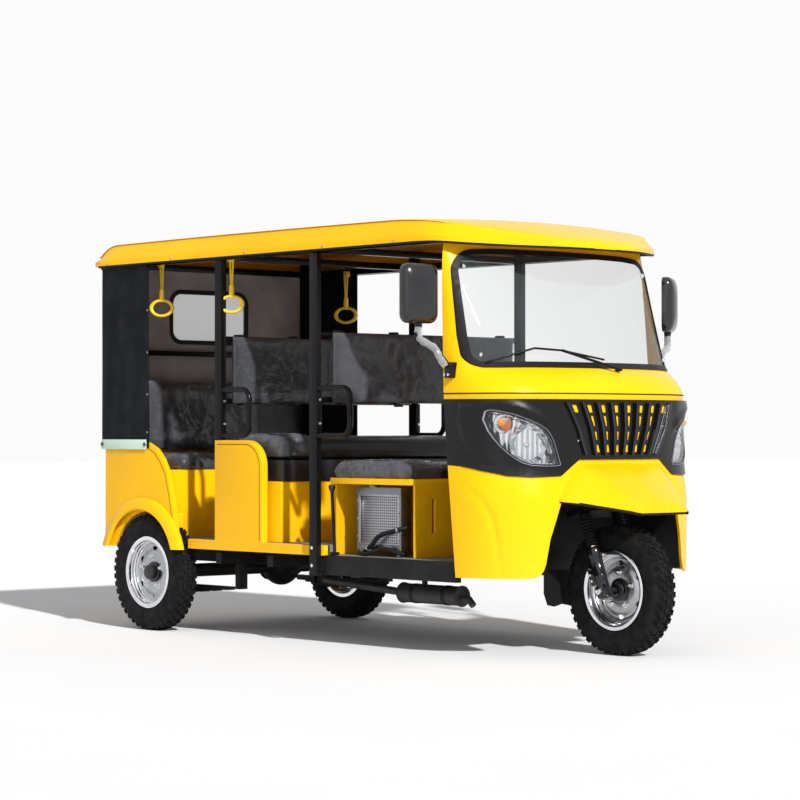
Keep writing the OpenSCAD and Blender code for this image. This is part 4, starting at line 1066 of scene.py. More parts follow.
def wall_ring(x, outer, inner):
    """A closed section at x, from half an outer line and half an inner one."""
    whole = [half + [(-y, z) for y, z in reversed(half[:-1])] for half in (outer, inner)]
    return [(x, y, z) for y, z in whole[0] + whole[1][::-1]]


class TRICYCLE_OT_roof(bpy.types.Operator):
    """Make the roof and the black lip under its edge"""
    bl_idname = "tricycle.roof"
    bl_label = "Roof"

    def execute(self, context):
        places = [ROOF_ROWS[0][0]]
        for (a, *_), (b, *_) in zip(ROOF_ROWS, ROOF_ROWS[1:]):
            count = max(2, round((b - a) / 0.04)) if b > 0.5 or a < -1.4 else 8
            places += [a + (b - a) * (i + 1) / count for i in range(count)]
        rows = [between(ROOF_ROWS, x) for x in places]
        shell = stacked([wall_ring(r[0], roof_half(r, 0.0), roof_half(r, 0.010)) for r in rows])
        nose = between(ROOF_ROWS, 1.2198)
        closing = mirrored([(0.0, nose[3] - 0.0002)] + roof_half(nose, 0.0005))
        add_to(shell, prism([(y, z + 0.0001) for y, z in closing], 1.2085, 1.2197))
        # Faces that look down or inwards take the darker copy of the yellow: painted shade on the roof's underside.
        for face in shell.faces:
            middle = face.calc_center_median()
            face.material_index = 1 if face.normal.z < -0.3 or face.normal.y * middle.y < -0.001 else 0
        finish_piece("roof", shell, ["yellow", "ceiling"], replaces=["roof_shell"])
        # Rubber lip that hangs under the edge, along both sides and round the front.
        edge = [Vector((r[0], r[1] - 0.005, r[3])) for r in rows if r[0] > -1.575] + [Vector((1.219, 0.0, 1.7195))]
        section = ((-0.005, 0.001), (0.0055, 0.001), (0.0055, -0.007), (-0.001, -0.009), (-0.005, -0.006))
        lip = bmesh.new()
        for side in (-1, 1):
            add_to(lip, stacked([[(p.x, side * (p.y + a), p.z + b) for a, b in section] for p in edge]))
        soften(finish_piece("roof_lip", lip, "seal"), 0.001, 2)
        return {"FINISHED"}


class TRICYCLE_OT_mudguard(bpy.types.Operator):
    """Make the beak over the front wheel and its rubber edging"""
    bl_idname = "tricycle.mudguard"
    bl_label = "Mudguard"

    def execute(self, context):
        places = [1.250 + (1.547 - 1.250) * i / 24 for i in range(25)]
        rows = [between(GUARD_ROWS, x) for x in places]
        rings = [wall_ring(r[0], guard_half(r, 0.0), guard_half(r, 0.009)) for r in rows]
        tip = list(GUARD_ROWS[-1])
        flat = [(y, min(z, tip[3] + 0.004)) for y, z in guard_half(tip, 0.009)]
        rings.append(wall_ring(tip[0], guard_half(tip, 0.0), flat))
        beak = off_cab(stacked(rings), 0.50, 1.00, 60)
        soften(finish_piece("beak", beak, "yellow", replaces=["front_mudguard"]), 0.003, 3, 40)
        edging = bmesh.new()
        rows.append(tip)
        section = ((-0.007, 0.008), (0.007, 0.008), (0.007, -0.001), (0.003, -0.005), (-0.003, -0.005),
                   (-0.007, -0.001))
        for side in (-1, 1):
            line = [(r[0], side * (r[1] - 0.0045), r[3]) for r in rows]
            add_to(edging, stacked([[(x, y + a, z + b) for a, b in section] for x, y, z in line]))
        section = ((-0.006, 0.006), (0.0045, 0.006), (0.0045, -0.001), (0.002, -0.004), (-0.003, -0.004),
                   (-0.006, -0.001))
        nose = [(tip[0] - 0.0045, y, tip[3]) for y in (-0.152, 0.0, 0.152)]
        add_to(edging, stacked([[(x + a, y, z + b) for a, b in section] for x, y, z in nose]))
        edging = off_cab(edging, 0.50, 1.00, 60)
        finish_piece("beak_edging", edging, "seal")
        return {"FINISHED"}


def closed_spin(bm, centre, side, profile, steps=96):
    """A closed (radius, outwards) profile turned round a wheel's axle. Outwards is the side's way."""
    one = bmesh.new()
    spun(one, [(r, side * s) for r, s in profile], centre, steps)
    tidy_normals(one)
    add_to(bm, one)


def peg(bm, start, end, radius, sides=16, radius_end=None, bevel=0.0):
    """A closed pin between two points, with rounded ends."""
    one = bmesh.new()
    rod(one, start, end, radius, sides, radius_end)
    if bevel:
        rims = [e for e in one.edges if e.calc_face_angle(0.0) > 1.0]
        round_edges(one, rims, bevel, 2)
    add_to(bm, one)


# The wheels' sections: pairs of radius and distance outwards from the middle
RIM_BARREL = [(0.1690, 0.0455), (0.1700, 0.0480), (0.1680, 0.0492), (0.1560, 0.0490), (0.1515, 0.0470),
              (0.1495, 0.0420), (0.1480, 0.0330), (0.1455, 0.0300), (0.1440, 0.0200), (0.1400, 0.0160),
              (0.1385, 0.0060), (0.1350, 0.0030), (0.1345, -0.0200), (0.1460, -0.0330), (0.1500, -0.0460),
              (0.1530, -0.0490), (0.1680, -0.0492), (0.1700, -0.0480), (0.1690, -0.0455), (0.1545, -0.0440),
              (0.1527, -0.0400), (0.1480, -0.0290), (0.1370, -0.0160), (0.1370, 0.0050), (0.1410, 0.0130),
              (0.1465, 0.0190), (0.1480, 0.0290), (0.1527, 0.0400), (0.1545, 0.0440)]
RIM_DISC = [(0.1360, 0.0045), (0.1310, 0.0060), (0.1240, 0.0010), (0.1160, -0.0010), (0.1080, 0.0015),
            (0.1000, 0.0090), (0.0900, 0.0120), (0.0620, 0.0120), (0.0560, 0.0090), (0.0470, 0.0085),
            (0.0440, 0.0085), (0.0440, 0.0040), (0.0560, 0.0045), (0.0620, 0.0075), (0.0900, 0.0075),
            (0.0980, 0.0050), (0.1060, -0.0030), (0.1160, -0.0060), (0.1260, -0.0035), (0.1360, -0.0010)]
HUB = [(0.0125, 0.012), (0.0125, -0.044), (0.044, -0.044), (0.044, 0.009), (0.048, 0.011), (0.048, 0.014),
       (0.040, 0.017), (0.034, 0.018)]
FRONT_CAP = [(0.030, 0.022), (0.027, 0.034), (0.018, 0.036)]
REAR_CAP = [(0.035, 0.024), (0.035, 0.038), (0.031, 0.044), (0.010, 0.047), (0.0, 0.047), (0.0, 0.012)]
NUT_CIRCLE = 0.074
DISC_HOLES = 6
HOLE_CIRCLE = 0.1145


class TRICYCLE_OT_rims(bpy.types.Operator):
    """Make the plated rims with their discs, hubs and nuts"""
    bl_idname = "tricycle.rims"
    bl_label = "Rims"

    def execute(self, context):
        count = context.scene.tricycle_wheels.nuts
        for node, centre, body in WHEELS:
            side = 1 if node.endswith("left") else -1
            name = node.replace("tyre", "rim")
            front = node.startswith("front")
            barrel, disc, holes, nuts, hub = (bmesh.new() for _ in range(5))
            closed_spin(barrel, centre, side, RIM_BARREL)
            finish_piece(name + "_barrel", barrel, "chrome", body, [name], angle=25)
            closed_spin(disc, centre, side, RIM_DISC)
            for i in range(DISC_HOLES):
                angle = math.tau * (i + 0.5) / DISC_HOLES
                one = bmesh.new()
                rod(one, (0, -0.03, 0), (0, 0.03, 0), 0.0105, 20)
                bmesh.ops.scale(one, verts=one.verts, vec=(1.0, 1.0, 1.6))
                turn = Matrix.Rotation(-angle, 4, "Y") @ Matrix.Translation((HOLE_CIRCLE, 0, 0))
                bmesh.ops.transform(one, verts=one.verts, matrix=Matrix.Translation(centre) @ turn)
                add_to(holes, one)
            soften(finish_piece(name + "_disc", carve(disc, minus(holes)), "disc", body, angle=30), 0.0008, 2, 40)
            for i in range(count):
                angle = math.tau * i / count + 0.3
                seat = centre + NUT_CIRCLE * Vector((math.cos(angle), 0, math.sin(angle)))
                for near, far, radius, sides, top, bevel in ((0.0115, 0.0150, 0.0130, 20, None, 0.0),
                        (0.0150, 0.0245, 0.0105, 6, 0.0095, 0.0), (0.0240, 0.0330, 0.0055, 12, None, 0.001)):
                    start, end = (seat + Vector((0, side * away, 0)) for away in (near, far))
                    peg(nuts, start, end, radius, sides, top, bevel)
            finish_piece(name + "_nuts", nuts, "chrome", body, angle=30)
            closed_spin(hub, centre, side, HUB + (FRONT_CAP if front else REAR_CAP), 64)
            finish_piece(name + "_hub", hub, "gloss", body, (), 30)
        return {"FINISHED"}


RAKE = math.radians(20)
TRAIL = 0.045
STEER_PLACE = FRONT_WHEEL - TRAIL * Vector((math.cos(RAKE), 0.0, math.sin(RAKE)))
STEER = Matrix.Translation(STEER_PLACE) @ Matrix.Rotation(-RAKE, 4, "Y")
UP = (0, 0, 1)


def steered(bm):
    """A shape in the steering's own axes, put in its place."""
    bmesh.ops.transform(bm, verts=bm.verts, matrix=STEER)
    return bm


class TRICYCLE_OT_fork(bpy.types.Operator):
    """Make the fork's tubes, gaiters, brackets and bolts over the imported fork"""
    bl_idname = "tricycle.fork"
    bl_label = "Fork"

    def execute(self, context):
        tubes, gaiters, bright = bmesh.new(), bmesh.new(), bmesh.new()
        for side in (-1, 1):
            foot = Vector((0.045, side * 0.100, 0.0))
            lower = [(0.0, -0.034), (0.021, -0.034), (0.0262, -0.029), (0.0262, 0.060), (0.0274, 0.062),
                     (0.0274, 0.066), (0.0262, 0.068), (0.0262, 0.140), (0.0300, 0.148), (0.0325, 0.160),
                     (0.0325, 0.184), (0.0305, 0.189), (0.0265, 0.190), (0.0, 0.190)]
            turned(tubes, lower, foot, UP, 36)
            folds = [(0.0, 0.186), (0.0265, 0.186)]
            for i in range(11):
                z = 0.190 + i * 0.0138
                folds += [(0.0225, z), (0.0270, z + 0.0040), (0.0270, z + 0.0070), (0.0225, z + 0.0110)]
            turned(gaiters, folds + [(0.0210, 0.343), (0.0, 0.343)], foot, UP, 36)
            turned(bright, [(0.0, 0.189), (0.0262, 0.189), (0.0262, 0.1935), (0.0, 0.1935)], foot, UP, 32)

            def at(x, out, z):
                return foot + Vector((x, side * out, z))

            # Axle clamp, its bolt and the axle nut.
            middle = at(0, 0.004, 0)
            box_at(tubes, middle - Vector((0.030, 0.016, 0.026)), middle + Vector((0.030, 0.016, 0.026)), 0.005)
            peg(bright, at(0, 0.020, 0), at(0, 0.040, 0), 0.0165, 6, bevel=0.001)
            peg(bright, at(0, 0.040, 0), at(0, 0.050, 0), 0.0085, 14, bevel=0.001)
            # Bracket for the brake arm on the tube's rear.
            box_at(tubes, foot + Vector((-0.062, -0.006, 0.036)), foot + Vector((-0.020, 0.006, 0.128)), 0.004)
            for z in (0.056, 0.082, 0.108):
                peg(bright, at(-0.046, 0.004, z), at(-0.046, 0.012, z), 0.0055, 6)
            # Clamp bolts on the yoke.
            peg(bright, at(0, 0, 0.370), at(0, 0, 0.379), 0.0150, 6, bevel=0.001)
        finish_piece("fork_tubes", steered(tubes), "gloss", "steering", (), 35)
        finish_piece("fork_gaiters", steered(gaiters), "seal", "steering", angle=45)
        finish_piece("fork_bolts", steered(bright), "chrome", "steering", angle=35)
        return {"FINISHED"}


class TRICYCLE_OT_mirrors(bpy.types.Operator):
    """Make the mirrors with their shells, glass and film-wrapped arms"""
    bl_idname = "tricycle.mirrors"
    bl_label = "Mirrors"

    def execute(self, context):
        shells, glasses, films, clamps, screws, bars = (bmesh.new() for _ in range(6))
        for side in (-1, 1):
            middle = Vector((0.886, side * 0.7655, 1.518))
            # The shell is a stack of rounded outlines from the glass's rim to the crown.
            rings = []
            for x, w, h in ((-0.0195, 0.083, 0.121), (-0.0195, 0.0865, 0.1245), (-0.004, 0.0872, 0.1252),
                            (0.008, 0.0862, 0.1240), (0.0185, 0.0810, 0.118), (0.0265, 0.0710, 0.107),
                            (0.0325, 0.0560, 0.090), (0.0365, 0.037, 0.066), (0.0388, 0.016, 0.034)):
                rings.append([(x, y, z) for y, z in rounded(w, h, min(w, h) * 0.42)])
            shell = stacked(rings)
            crown = ((-0.0275, 0.08), (-0.0272, 0.30), (-0.0262, 0.52), (-0.0246, 0.72), (-0.0224, 0.88),
                     (-0.0200, 0.965), (-0.0185, 0.965))
            glass = stacked([[(x, y * k, z * k) for _, y, z in rings[0]] for x, k in crown])
            yaw = Matrix.Rotation(math.radians(-8.0 if side < 0 else 34.0), 4, "Z")
            for part, out in ((shell, shells), (glass, glasses)):
                bmesh.ops.transform(part, verts=part.verts, matrix=Matrix.Translation(middle) @ yaw)
                add_to(out, part)
            # Socket under the shell, and the film that is wound round the arm.
            turned(clamps, [(0.0, 1.372), (0.0125, 1.372), (0.0150, 1.378), (0.0165, 1.386), (0.0165, 1.400),
                            (0.0, 1.404)], (0.880, side * 0.765, 0), UP, 24)
            sided_box(clamps, side, (0.922, 0.600, 1.166), (0.962, 0.660, 1.232), 0.004, 3)
            for x in (0.930, 0.952):
                peg(screws, (x, side * 0.658, 1.180), (x, side * 0.666, 1.180), 0.0060, 6)
            route = ((0.935, 0.664, 1.215), (0.922, 0.682, 1.252), (0.905, 0.700, 1.290), (0.888, 0.752, 1.322),
                     (0.880, 0.765, 1.345), (0.880, 0.765, 1.378))
            add_to(films, wound(through([Vector((x, side * y, z)) for x, y, z in route], 7), 0.0150))
            hose(bars, [(0.935, side * 0.645, 1.215), (0.905, side * 0.700, 1.290), (0.880, side * 0.765, 1.330),
                        (0.880, side * 0.765, 1.384)], 0.0118)
        finish_piece("mirror_shells", off_cab(shells, 0.5, CAB_HIGH), "shell", replaces=["mirrors"], angle=50)
        finish_piece("mirror_glasses", glasses, "mirror")
        finish_piece("mirror_sockets", off_cab(clamps, 0.5, CAB_HIGH), "plastic")
        finish_piece("mirror_bars", off_cab(bars, 0.5, CAB_HIGH), "frame", replaces=["mirror_arms"])
        finish_piece("mirror_screws", screws, "chrome", angle=30)
        finish_piece("mirror_arm_films", films, "wrap", angle=80)
        return {"FINISHED"}


def stations(route):
    """The places of a route, each with the turn from Z to the way on."""
    for i, place in enumerate(route):
        way = (route[min(i + 1, len(route) - 1)] - route[max(i - 1, 0)]).normalized()
        yield place, way.to_track_quat("Z", "Y").to_matrix()


def wound(route, radius, sides=14):
    """Loose clear film wound round a bar, crumpled between its turns."""
    rings = []
    for i, (place, turn) in enumerate(stations(route)):
        ring = []
        for j in range(sides):
            angle = math.tau * j / sides
            swell = 1 + 0.16 * math.sin(3 * angle + 1.9 * i) * math.cos(2.3 * i + j) + 0.07 * math.sin(5.1 * i)
            ring.append(place + turn @ Vector((math.cos(angle), math.sin(angle), 0)) * radius * swell)
        rings.append(ring)
    return stacked(rings)


TINY = 1e-6
SWELL_PRESSURE = 4.0
SWELL_FRAMES = 20
SMOOTHINGS = 5


def swollen(name, bm, node, rests, cap, voxel=0.010):
    """A padded piece, swollen from a closed shape by a cloth simulation. Rests is the level that it lies on."""
    thing = loose_object(bm, name)
    grain = thing.modifiers.new("grain", "REMESH")
    grain.mode = "VOXEL"
    grain.voxel_size = voxel
    first = thing.data
    thing.data = bpy.data.meshes.new_from_object(thing.evaluated_get(bpy.context.evaluated_depsgraph_get()))
    bpy.data.meshes.remove(first)
    thing.modifiers.clear()
    start = [v.co.copy() for v in thing.data.vertices]
    end = start
    scene = bpy.context.scene
    scene.frame_set(1)
    cloth = thing.modifiers.new("swell", "CLOTH")
    cloth.settings.use_pressure = True
    cloth.settings.uniform_pressure_force = SWELL_PRESSURE
    cloth.settings.effector_weights.gravity = 0.0
    cloth.settings.quality = 4
    cloth.point_cache.frame_start, cloth.point_cache.frame_end = 1, SWELL_FRAMES
    for frame in range(1, SWELL_FRAMES + 1):
        scene.frame_set(frame)
    end = [v.co.copy() for v in thing.evaluated_get(bpy.context.evaluated_depsgraph_get()).to_mesh().vertices]
    thing.modifiers.clear()
    scene.frame_set(1)
    result = bmesh.new()
    result.from_mesh(thing.data)
    bpy.data.objects.remove(thing)
    for vert, a, b in zip(result.verts, start, end):
        move = b - a
        vert.co = a + move * min(1.0, cap / max(move.length, TINY))
    for _ in range(SMOOTHINGS):
        bmesh.ops.smooth_vert(result, verts=result.verts, factor=0.5, use_axis_x=True, use_axis_y=True,
                              use_axis_z=True)
    if rests is not None:
        for vert in result.verts:
            vert.co.z = max(vert.co.z, rests)
    piece = finish_piece(name, result, "vinyl", replaces=[node] if node else (), angle=180)
    fine = piece.modifiers.new("fine", "SUBSURF")
    fine.levels = fine.render_levels = 1
    return piece


def crumple(point, scale, depth):
    """Sharp-edged folds of a thin film."""
    a = abs(noise.noise(point * scale))
    b = abs(noise.noise(point * scale * 2.3 + Vector((7.0, 3.0, 1.0))))
    return depth * (0.6 - 1.1 * a) + depth * 0.45 * (0.5 - b)


def film_over(name, piece, keep, gap, depth, scale, cuts=1):
    """A loose clear film over the part of a piece that a test keeps."""
    bm = bmesh.new()
    bm.from_mesh(piece.data)
    bmesh.ops.delete(bm, geom=[f for f in bm.faces if not keep(f.calc_center_median(), f.normal)], context="FACES")
    if cuts:
        bmesh.ops.subdivide_edges(bm, edges=bm.edges, cuts=cuts, use_grid_fill=True)
    bm.normal_update()
    for vert, way in [(v, v.normal.copy()) for v in bm.verts]:
        vert.co += way * (gap + max(-gap * 0.6, crumple(vert.co, scale, depth)))
    film_sheet(name, bm)


def film_sheet(name, bm):
    """A film piece from a surface, given a small thickness."""
    area = sum(f.calc_area() for f in bm.faces)
    film = finish_piece(name, bm, "film", angle=24)
    thick = film.modifiers.new("thick", "SOLIDIFY")
    thick.thickness = 0.0003


class TRICYCLE_OT_seats(bpy.types.Operator):
    """Make the seats' cushions and backs, with the clear film left on them"""
    bl_idname = "tricycle.seats"
    bl_label = "Seats"

    def execute(self, context):
        def shape(low, high, bevel=0.020, lean=0.0):
            bm = bmesh.new()
            box_at(bm, low, high, bevel, 4)
            if lean:
                bmesh.ops.rotate(bm, verts=bm.verts, cent=(-1.440, 0, 0.8323),
                                 matrix=Matrix.Rotation(math.radians(lean), 3, "Y"))
            return bm

        rear = swollen("rear_cushion", shape((-1.434, -0.552, 0.7625), (-1.020, 0.552, 0.822)), "rear_seat_cushion",
                       0.7625, 0.010)
        back = swollen("rear_back", shape((-1.436, -0.552, 0.838), (-1.392, 0.552, 1.200), 0.018, -8),
                       "rear_seat_back", 0.833, 0.012)
        middle = swollen("middle_cushion", shape((-0.632, -0.552, 0.820), (-0.243, 0.552, 0.913), 0.024),
                         "middle_seat_cushion", 0.8145, 0.011)
        apron = bmesh.new()
        box_at(apron, (-0.638, -0.550, 0.7165), (-0.263, 0.550, 0.8142), 0.004)
        finish_piece("middle_apron", apron, "vinyl")
        driver = swollen("driver_cushion", shape((0.080, -0.552, 0.7385), (0.592, 0.552, 0.798)),
                         "driver_seat_cushion", 0.7385, 0.010)
        film_over("driver_film", driver, lambda p, n: p.y < -0.36 and p.z > 0.742 and p.x > 0.10, 0.004, 0.013, 13.0)
        film_over("middle_film", middle, lambda p, n: p.y < -0.40 and p.z > 0.835, 0.004, 0.011, 13.0)
        film_over("rear_film", rear, lambda p, n: p.y < -0.30 and p.z > 0.770 and p.x > -1.35, 0.003, 0.009, 14.0)
        film_over("back_film", back, lambda p, n: p.y < 0.2 and n.x > 0.1, 0.003, 0.008, 8.0)
        return {"FINISHED"}


class TRICYCLE_OT_backrests(bpy.types.Operator):
    """Make the two hung backrest pads under their clear film"""
    bl_idname = "tricycle.backrests"
    bl_label = "Backrests"

    def execute(self, context):
        for k, x, node in ((1, 0.0705, "backrest_pads"), (2, -0.6445, None)):
            bm = bmesh.new()
            box_at(bm, (x + 0.004, -0.564, 1.066), (x + 0.022, 0.564, 1.390), 0.008, 4)
            pad = swollen(f"backrest_{k}", bm, node, None, 0.005, 0.008)
            film_over(f"backrest_film_{k}", pad, lambda p, n: n.x > 0.5, 0.002, 0.0035, 6.0, 0)
            straps = bmesh.new()
            for y in (-0.50, -0.17, 0.17, 0.50):
                for low, high in ((1.352, 1.3935), (1.0635, 1.105)):
                    box_at(straps, (x - 0.0278, y - 0.018, low), (x + 0.0035, y + 0.018, high), 0.002)
            finish_piece(f"backrest_clips_{k}", straps, "frame")
        return {"FINISHED"}


class TRICYCLE_OT_curtains(bpy.types.Operator):
    """Make the rear quarter curtains with their hems, rivets and lashings"""
    bl_idname = "tricycle.curtains"
    bl_label = "Curtains"

    def execute(self, context):
        for side, name in ((-1, "right"), (1, "left")):
            # The curtain's plan, from its front edge round the rear corner.
            plan = [(-1.146 - 0.375 * i / 30, 0.6545) for i in range(31)]
            plan += arc((-1.521, 0.6345), 0.020, 90, 180, 6)[1:]
            plan += [(-1.541, 0.6345 - 0.0345 * i / 4) for i in range(1, 5)]
            count, top = 56, 1.7515
            bm = bmesh.new()
            rows = []
            for j in range(count + 1):
                row = []
                for i, (x, y) in enumerate(plan):
                    low = 0.864 + 0.034 * ease((i - 26) / 8)
                    z = top + (low - top) * j / count
                    slack = math.sin(math.pi * j / count) ** 0.6
                    fold = (0.0032 * math.sin(x * 31 + z * 3.1) + 0.0022 * math.sin(x * 57 - z * 6.3)
                            + 0.003 * noise.noise(Vector((x * 5, side, z * 3))))
                    row.append(bm.verts.new((x, side * (y + min(0.0035, fold * slack) * (1 if i < 31 else 0.2)), z)))
                rows.append(row)
            for above, below in zip(rows, rows[1:]):
                for i in range(len(plan) - 1):
                    bm.faces.new((above[i], above[i + 1], below[i + 1], below[i]))
            bmesh.ops.recalc_face_normals(bm, faces=bm.faces)
            hem = bmesh.new()
            sided_box(hem, side, (-1.164, 0.6560, 0.868), (-1.1445, 0.6576, 1.750), 0.0006)
            sided_box(hem, side, (-1.534, 0.6560, 1.728), (-1.146, 0.6576, 1.7505), 0.0006)
            rivets = bmesh.new()
            for x, z in [(-1.155, 1.742), (-1.155, 1.52), (-1.155, 1.32), (-1.155, 1.12), (-1.155, 0.94),
                         (-1.34, 1.742), (-1.51, 1.742)]:
                turned(rivets, [(0.0, 0.0), (0.0048, 0.0), (0.0044, 0.0014), (0.0026, 0.0024), (0.0, 0.0027)],
                       (x, side * 0.6572, z), (0, side, 0), 16)
            lashing, rings = bmesh.new(), bmesh.new()
            sided_box(lashing, side, (-1.524, 0.6582, 0.858), (-1.160, 0.6618, 0.905), 0.0015)
            for x in (-1.514, -1.170):
                add_to(rings, hoop((x, side * 0.6640, 0.882), 0.0075, 0.0022, 8, 20))
            sheet = finish_piece(f"curtain_{name}", bm, "canvas", replaces=["rear_curtains"] if side < 0 else (),
                                 angle=70)
            thick = sheet.modifiers.new("thick", "SOLIDIFY")
            thick.thickness = 0.0012
            thick.offset = -1
            with_it = [finish_piece(f"curtain_hem_{name}", hem, "canvas"),
                       finish_piece(f"curtain_rivets_{name}", rivets, "steel"),
                       finish_piece(f"curtain_lashing_{name}", lashing, "lashing"),
                       finish_piece(f"curtain_rings_{name}", rings, "iron")]
            batten = bmesh.new()
            sided_box(batten, side, (-1.5326, 0.6210, 1.7382), (-1.1802, 0.6520, 1.7498), 0.002)
            finish_piece(f"curtain_batten_{name}", batten, "frame")
        return {"FINISHED"}


class TRICYCLE_OT_rear_end(bpy.types.Operator):
    """Make the rear wall's window and seal, the roof's rear closing and the tail lamps"""
    bl_idname = "tricycle.rear_end"
    bl_label = "Rear end"

    def execute(self, context):
        finish_piece("rear_lining", copy_of_node("rear_wall"), "lining", replaces=["rear_wall"])

        def pane(w, h, r, back, front):
            return prism(rounded(w, h, r, 1.5135), back, front)

        slot_for_pane = carve(pane(0.26, 0.15, 0.07, -1.5334, -1.5252),
                              minus(pane(0.2345, 0.1220, 0.055, -1.56, -1.50)))
        seal = carve(pane(0.249, 0.1365, 0.069, -1.5372, -1.5214), minus(pane(0.227, 0.1145, 0.050, -1.56, -1.50)),
                     minus(slot_for_pane))
        soften(finish_piece("window_seal", seal, "seal"), 0.0015, 3)
        under = roof_half(between(ROOF_ROWS, -1.560), 0.0098)[2:]
        end = prism(mirrored([(0.645, 1.7505), *under[:-1], (0.0, under[-1][1])]), -1.566, -1.560)
        # The rear closing under the roof takes the same painted shade.
        soften(finish_piece("roof_end", end, "ceiling"), 0.001, 2)
        lamps, bodies = bmesh.new(), bmesh.new()
        for side in (-1, 1):
            sided_box(bodies, side, (-1.5075, 0.5005, 0.6405), (-1.5015, 0.6095, 0.7795), 0.002)
            sided_box(lamps, side, (-1.5228, 0.5045, 0.6445), (-1.5078, 0.6055, 0.7755), 0.006, 4)
        finish_piece("tail_lamp_backs", bodies, "plastic")
        finish_piece("tail_lamp_lenses", lamps, "red", replaces=["tail_lamps"])
        return {"FINISHED"}


class TRICYCLE_OT_loops(bpy.types.Operator):
    """Make the hand loops on their straps"""
    bl_idname = "tricycle.loops"
    bl_label = "Hand loops"

    def execute(self, context):
        loops, straps, pins = bmesh.new(), bmesh.new(), bmesh.new()
        for side in (-1, 1):
            for x in (-0.608, -1.145):
                one = hoop((0, 0, 0), 0.046, 0.0088, 14, 48)
                # The ring is an oval that is flatter than it is wide.
                bmesh.ops.scale(one, verts=one.verts, vec=(1.16, 1.0, 0.80))
                bmesh.ops.rotate(one, verts=one.verts, matrix=Matrix.Rotation(math.radians(34), 3, "Z"))
                bmesh.ops.translate(one, verts=one.verts, vec=(x, side * 0.580, 1.532))
                add_to(loops, one)
                turned(loops, [(0.0, 1.560), (0.0105, 1.562), (0.0120, 1.570), (0.0120, 1.606), (0.0095, 1.622),
                               (0.0, 1.626)], (x, side * 0.580, 0), UP, 20)
                for lean in (-1, 1):
                    line = ((0.001, 1.615), (0.008, 1.615), (0.017, 1.742), (0.006, 1.742))
                    strap = [(x + lean * a, z) for a, z in line]
                    add_to(straps, prism(strap, side * 0.580 - 0.0018, side * 0.580 + 0.0018, "Y"))
                sided_box(straps, side, (x - 0.018, 0.578, 1.727), (x + 0.018, 0.592, 1.755), 0.0015)
                sided_box(pins, side, (x - 0.006, 0.574, 1.736), (x + 0.006, 0.578, 1.748), 0.0015)
        finish_piece("hand_rings", loops, "loop", replaces=["hand_loops"])
        finish_piece("hand_straps", straps, "loop")
        finish_piece("strap_screws", pins, "steel")
        return {"FINISHED"}


def crisp(node, finish, width=0.0015, segments=2):
    """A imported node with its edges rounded."""
    bm = copy_of_node(node)
    bmesh.ops.dissolve_limit(bm, angle_limit=math.radians(0.4), verts=bm.verts, edges=bm.edges)
    soften(finish_piece(node + "_dressed", bm, finish, replaces=[node]), width, segments)


def groove(line, width, low, high):
    """A narrow upright cut along a line of (x, z) points."""
    sides = []
    for i, (x, z) in enumerate(line):
        (a, b), (c, d) = line[max(0, i - 1)], line[min(len(line) - 1, i + 1)]
        way = Vector((c - a, d - b)).normalized() * width / 2
        sides.append(((x - way.y, z + way.x), (x + way.y, z - way.x)))
    return prism([s[0] for s in sides] + [s[1] for s in sides[::-1]], low, high, "Y")


class TRICYCLE_OT_panels(bpy.types.Operator):
    """Make the body's side panels and tail with the lines pressed into them drawn as painted shade, the seat boxes
    and the floor
    """
    bl_idname = "tricycle.panels"
    bl_label = "Body panels"

    def execute(self, context):
        # The lines pressed into the side panel and round the rear wheel, as (x, z).
        door = [(-0.664, 0.884), *arc((-0.453, 0.783), 0.101, 90, 0, 12), (-0.352, 0.446)]
        wing = [(-0.961, 0.410), (-0.963, 0.522), (-0.992, 0.645), (-1.019, 0.738), (-1.060, 0.800), (-1.106, 0.843),
                (-1.165, 0.869), (-1.200, 0.874)]
        crisp("side_panels", "yellow", 0.003, 3)
        crisp("rear_body", "yellow", 0.003, 3)
        # Thin strips in a dark copy of the body yellow along these lines: painted shade in the grooves.
        groove_shades = bmesh.new()
        for side in (-1, 1):
            for line, y in ((door, 0.6203), (wing, 0.6523)):
                add_to(groove_shades, groove(line, 0.0045, side * y - 0.0006, side * y + 0.0006))
        finish_piece("panel_groove_shades", groove_shades, "seam")
        for node in ("rear_seat_base", "middle_seat_base", "driver_seat_base"):
            crisp(node, "yellow", 0.002)
        crisp("floor_deck", "floor")
        return {"FINISHED"}


class TRICYCLE_OT_frames(bpy.types.Operator):
    """Make the posts, rails and bars with the grab handles' plates and bolts"""
    bl_idname = "tricycle.frames"
    bl_label = "Frames"

    def execute(self, context):
        crisp("side_frames", "frame", 0.0022, 3)
        crisp("cross_frames", "frame")
        plates, bolts = bmesh.new(), bmesh.new()
        for side in (-1, 1):
            for x, y in ((0.082, 0.632), (-0.633, 0.606)):
                sided_box(plates, side, (x, y - 0.0125, 0.940), (x + 0.0045, y + 0.0125, 1.120), 0.0015)
                for z in (0.978, 1.083):
                    peg(bolts, (x + 0.0045, side * y, z), (x + 0.0105, side * y, z), 0.0072, 6, bevel=0.0008)
                    peg(bolts, (x + 0.0105, side * y, z), (x + 0.0150, side * y, z), 0.0036, 12)
            for z in (0.430, 0.352):
                peg(bolts, (0.057, side * 0.646, z), (0.057, side * 0.654, z), 0.0085, 6, bevel=0.0008)
            peg(bolts, (-0.658, side * 0.6215, 1.775), (-0.658, side * 0.628, 1.775), 0.0055, 6)
        finish_piece("handle_plates", plates, "frame")
        finish_piece("handle_bolts", bolts, "chrome")
        return {"FINISHED"}


def hose(bm, points, radius, sides=12):
    """A bent round hose or bar through points."""
    turns = [math.tau * j / sides for j in range(sides)]
    ring = [Vector((math.cos(t), math.sin(t), 0)) for t in turns]
    route = through([Vector(p) for p in points], 5)
    add_to(bm, stacked([[place + turn @ p * radius for p in ring] for place, turn in stations(route)]))


def on_cab(y, z, d):
    """The point of the cab's skin at a width and a height."""
    _, x0, a, w, p = cab_row(z)
    return Vector((x0 + (a + d) * max(0.0, 1 - (abs(y) / (w + d)) ** p) ** (1 / p), y, z))


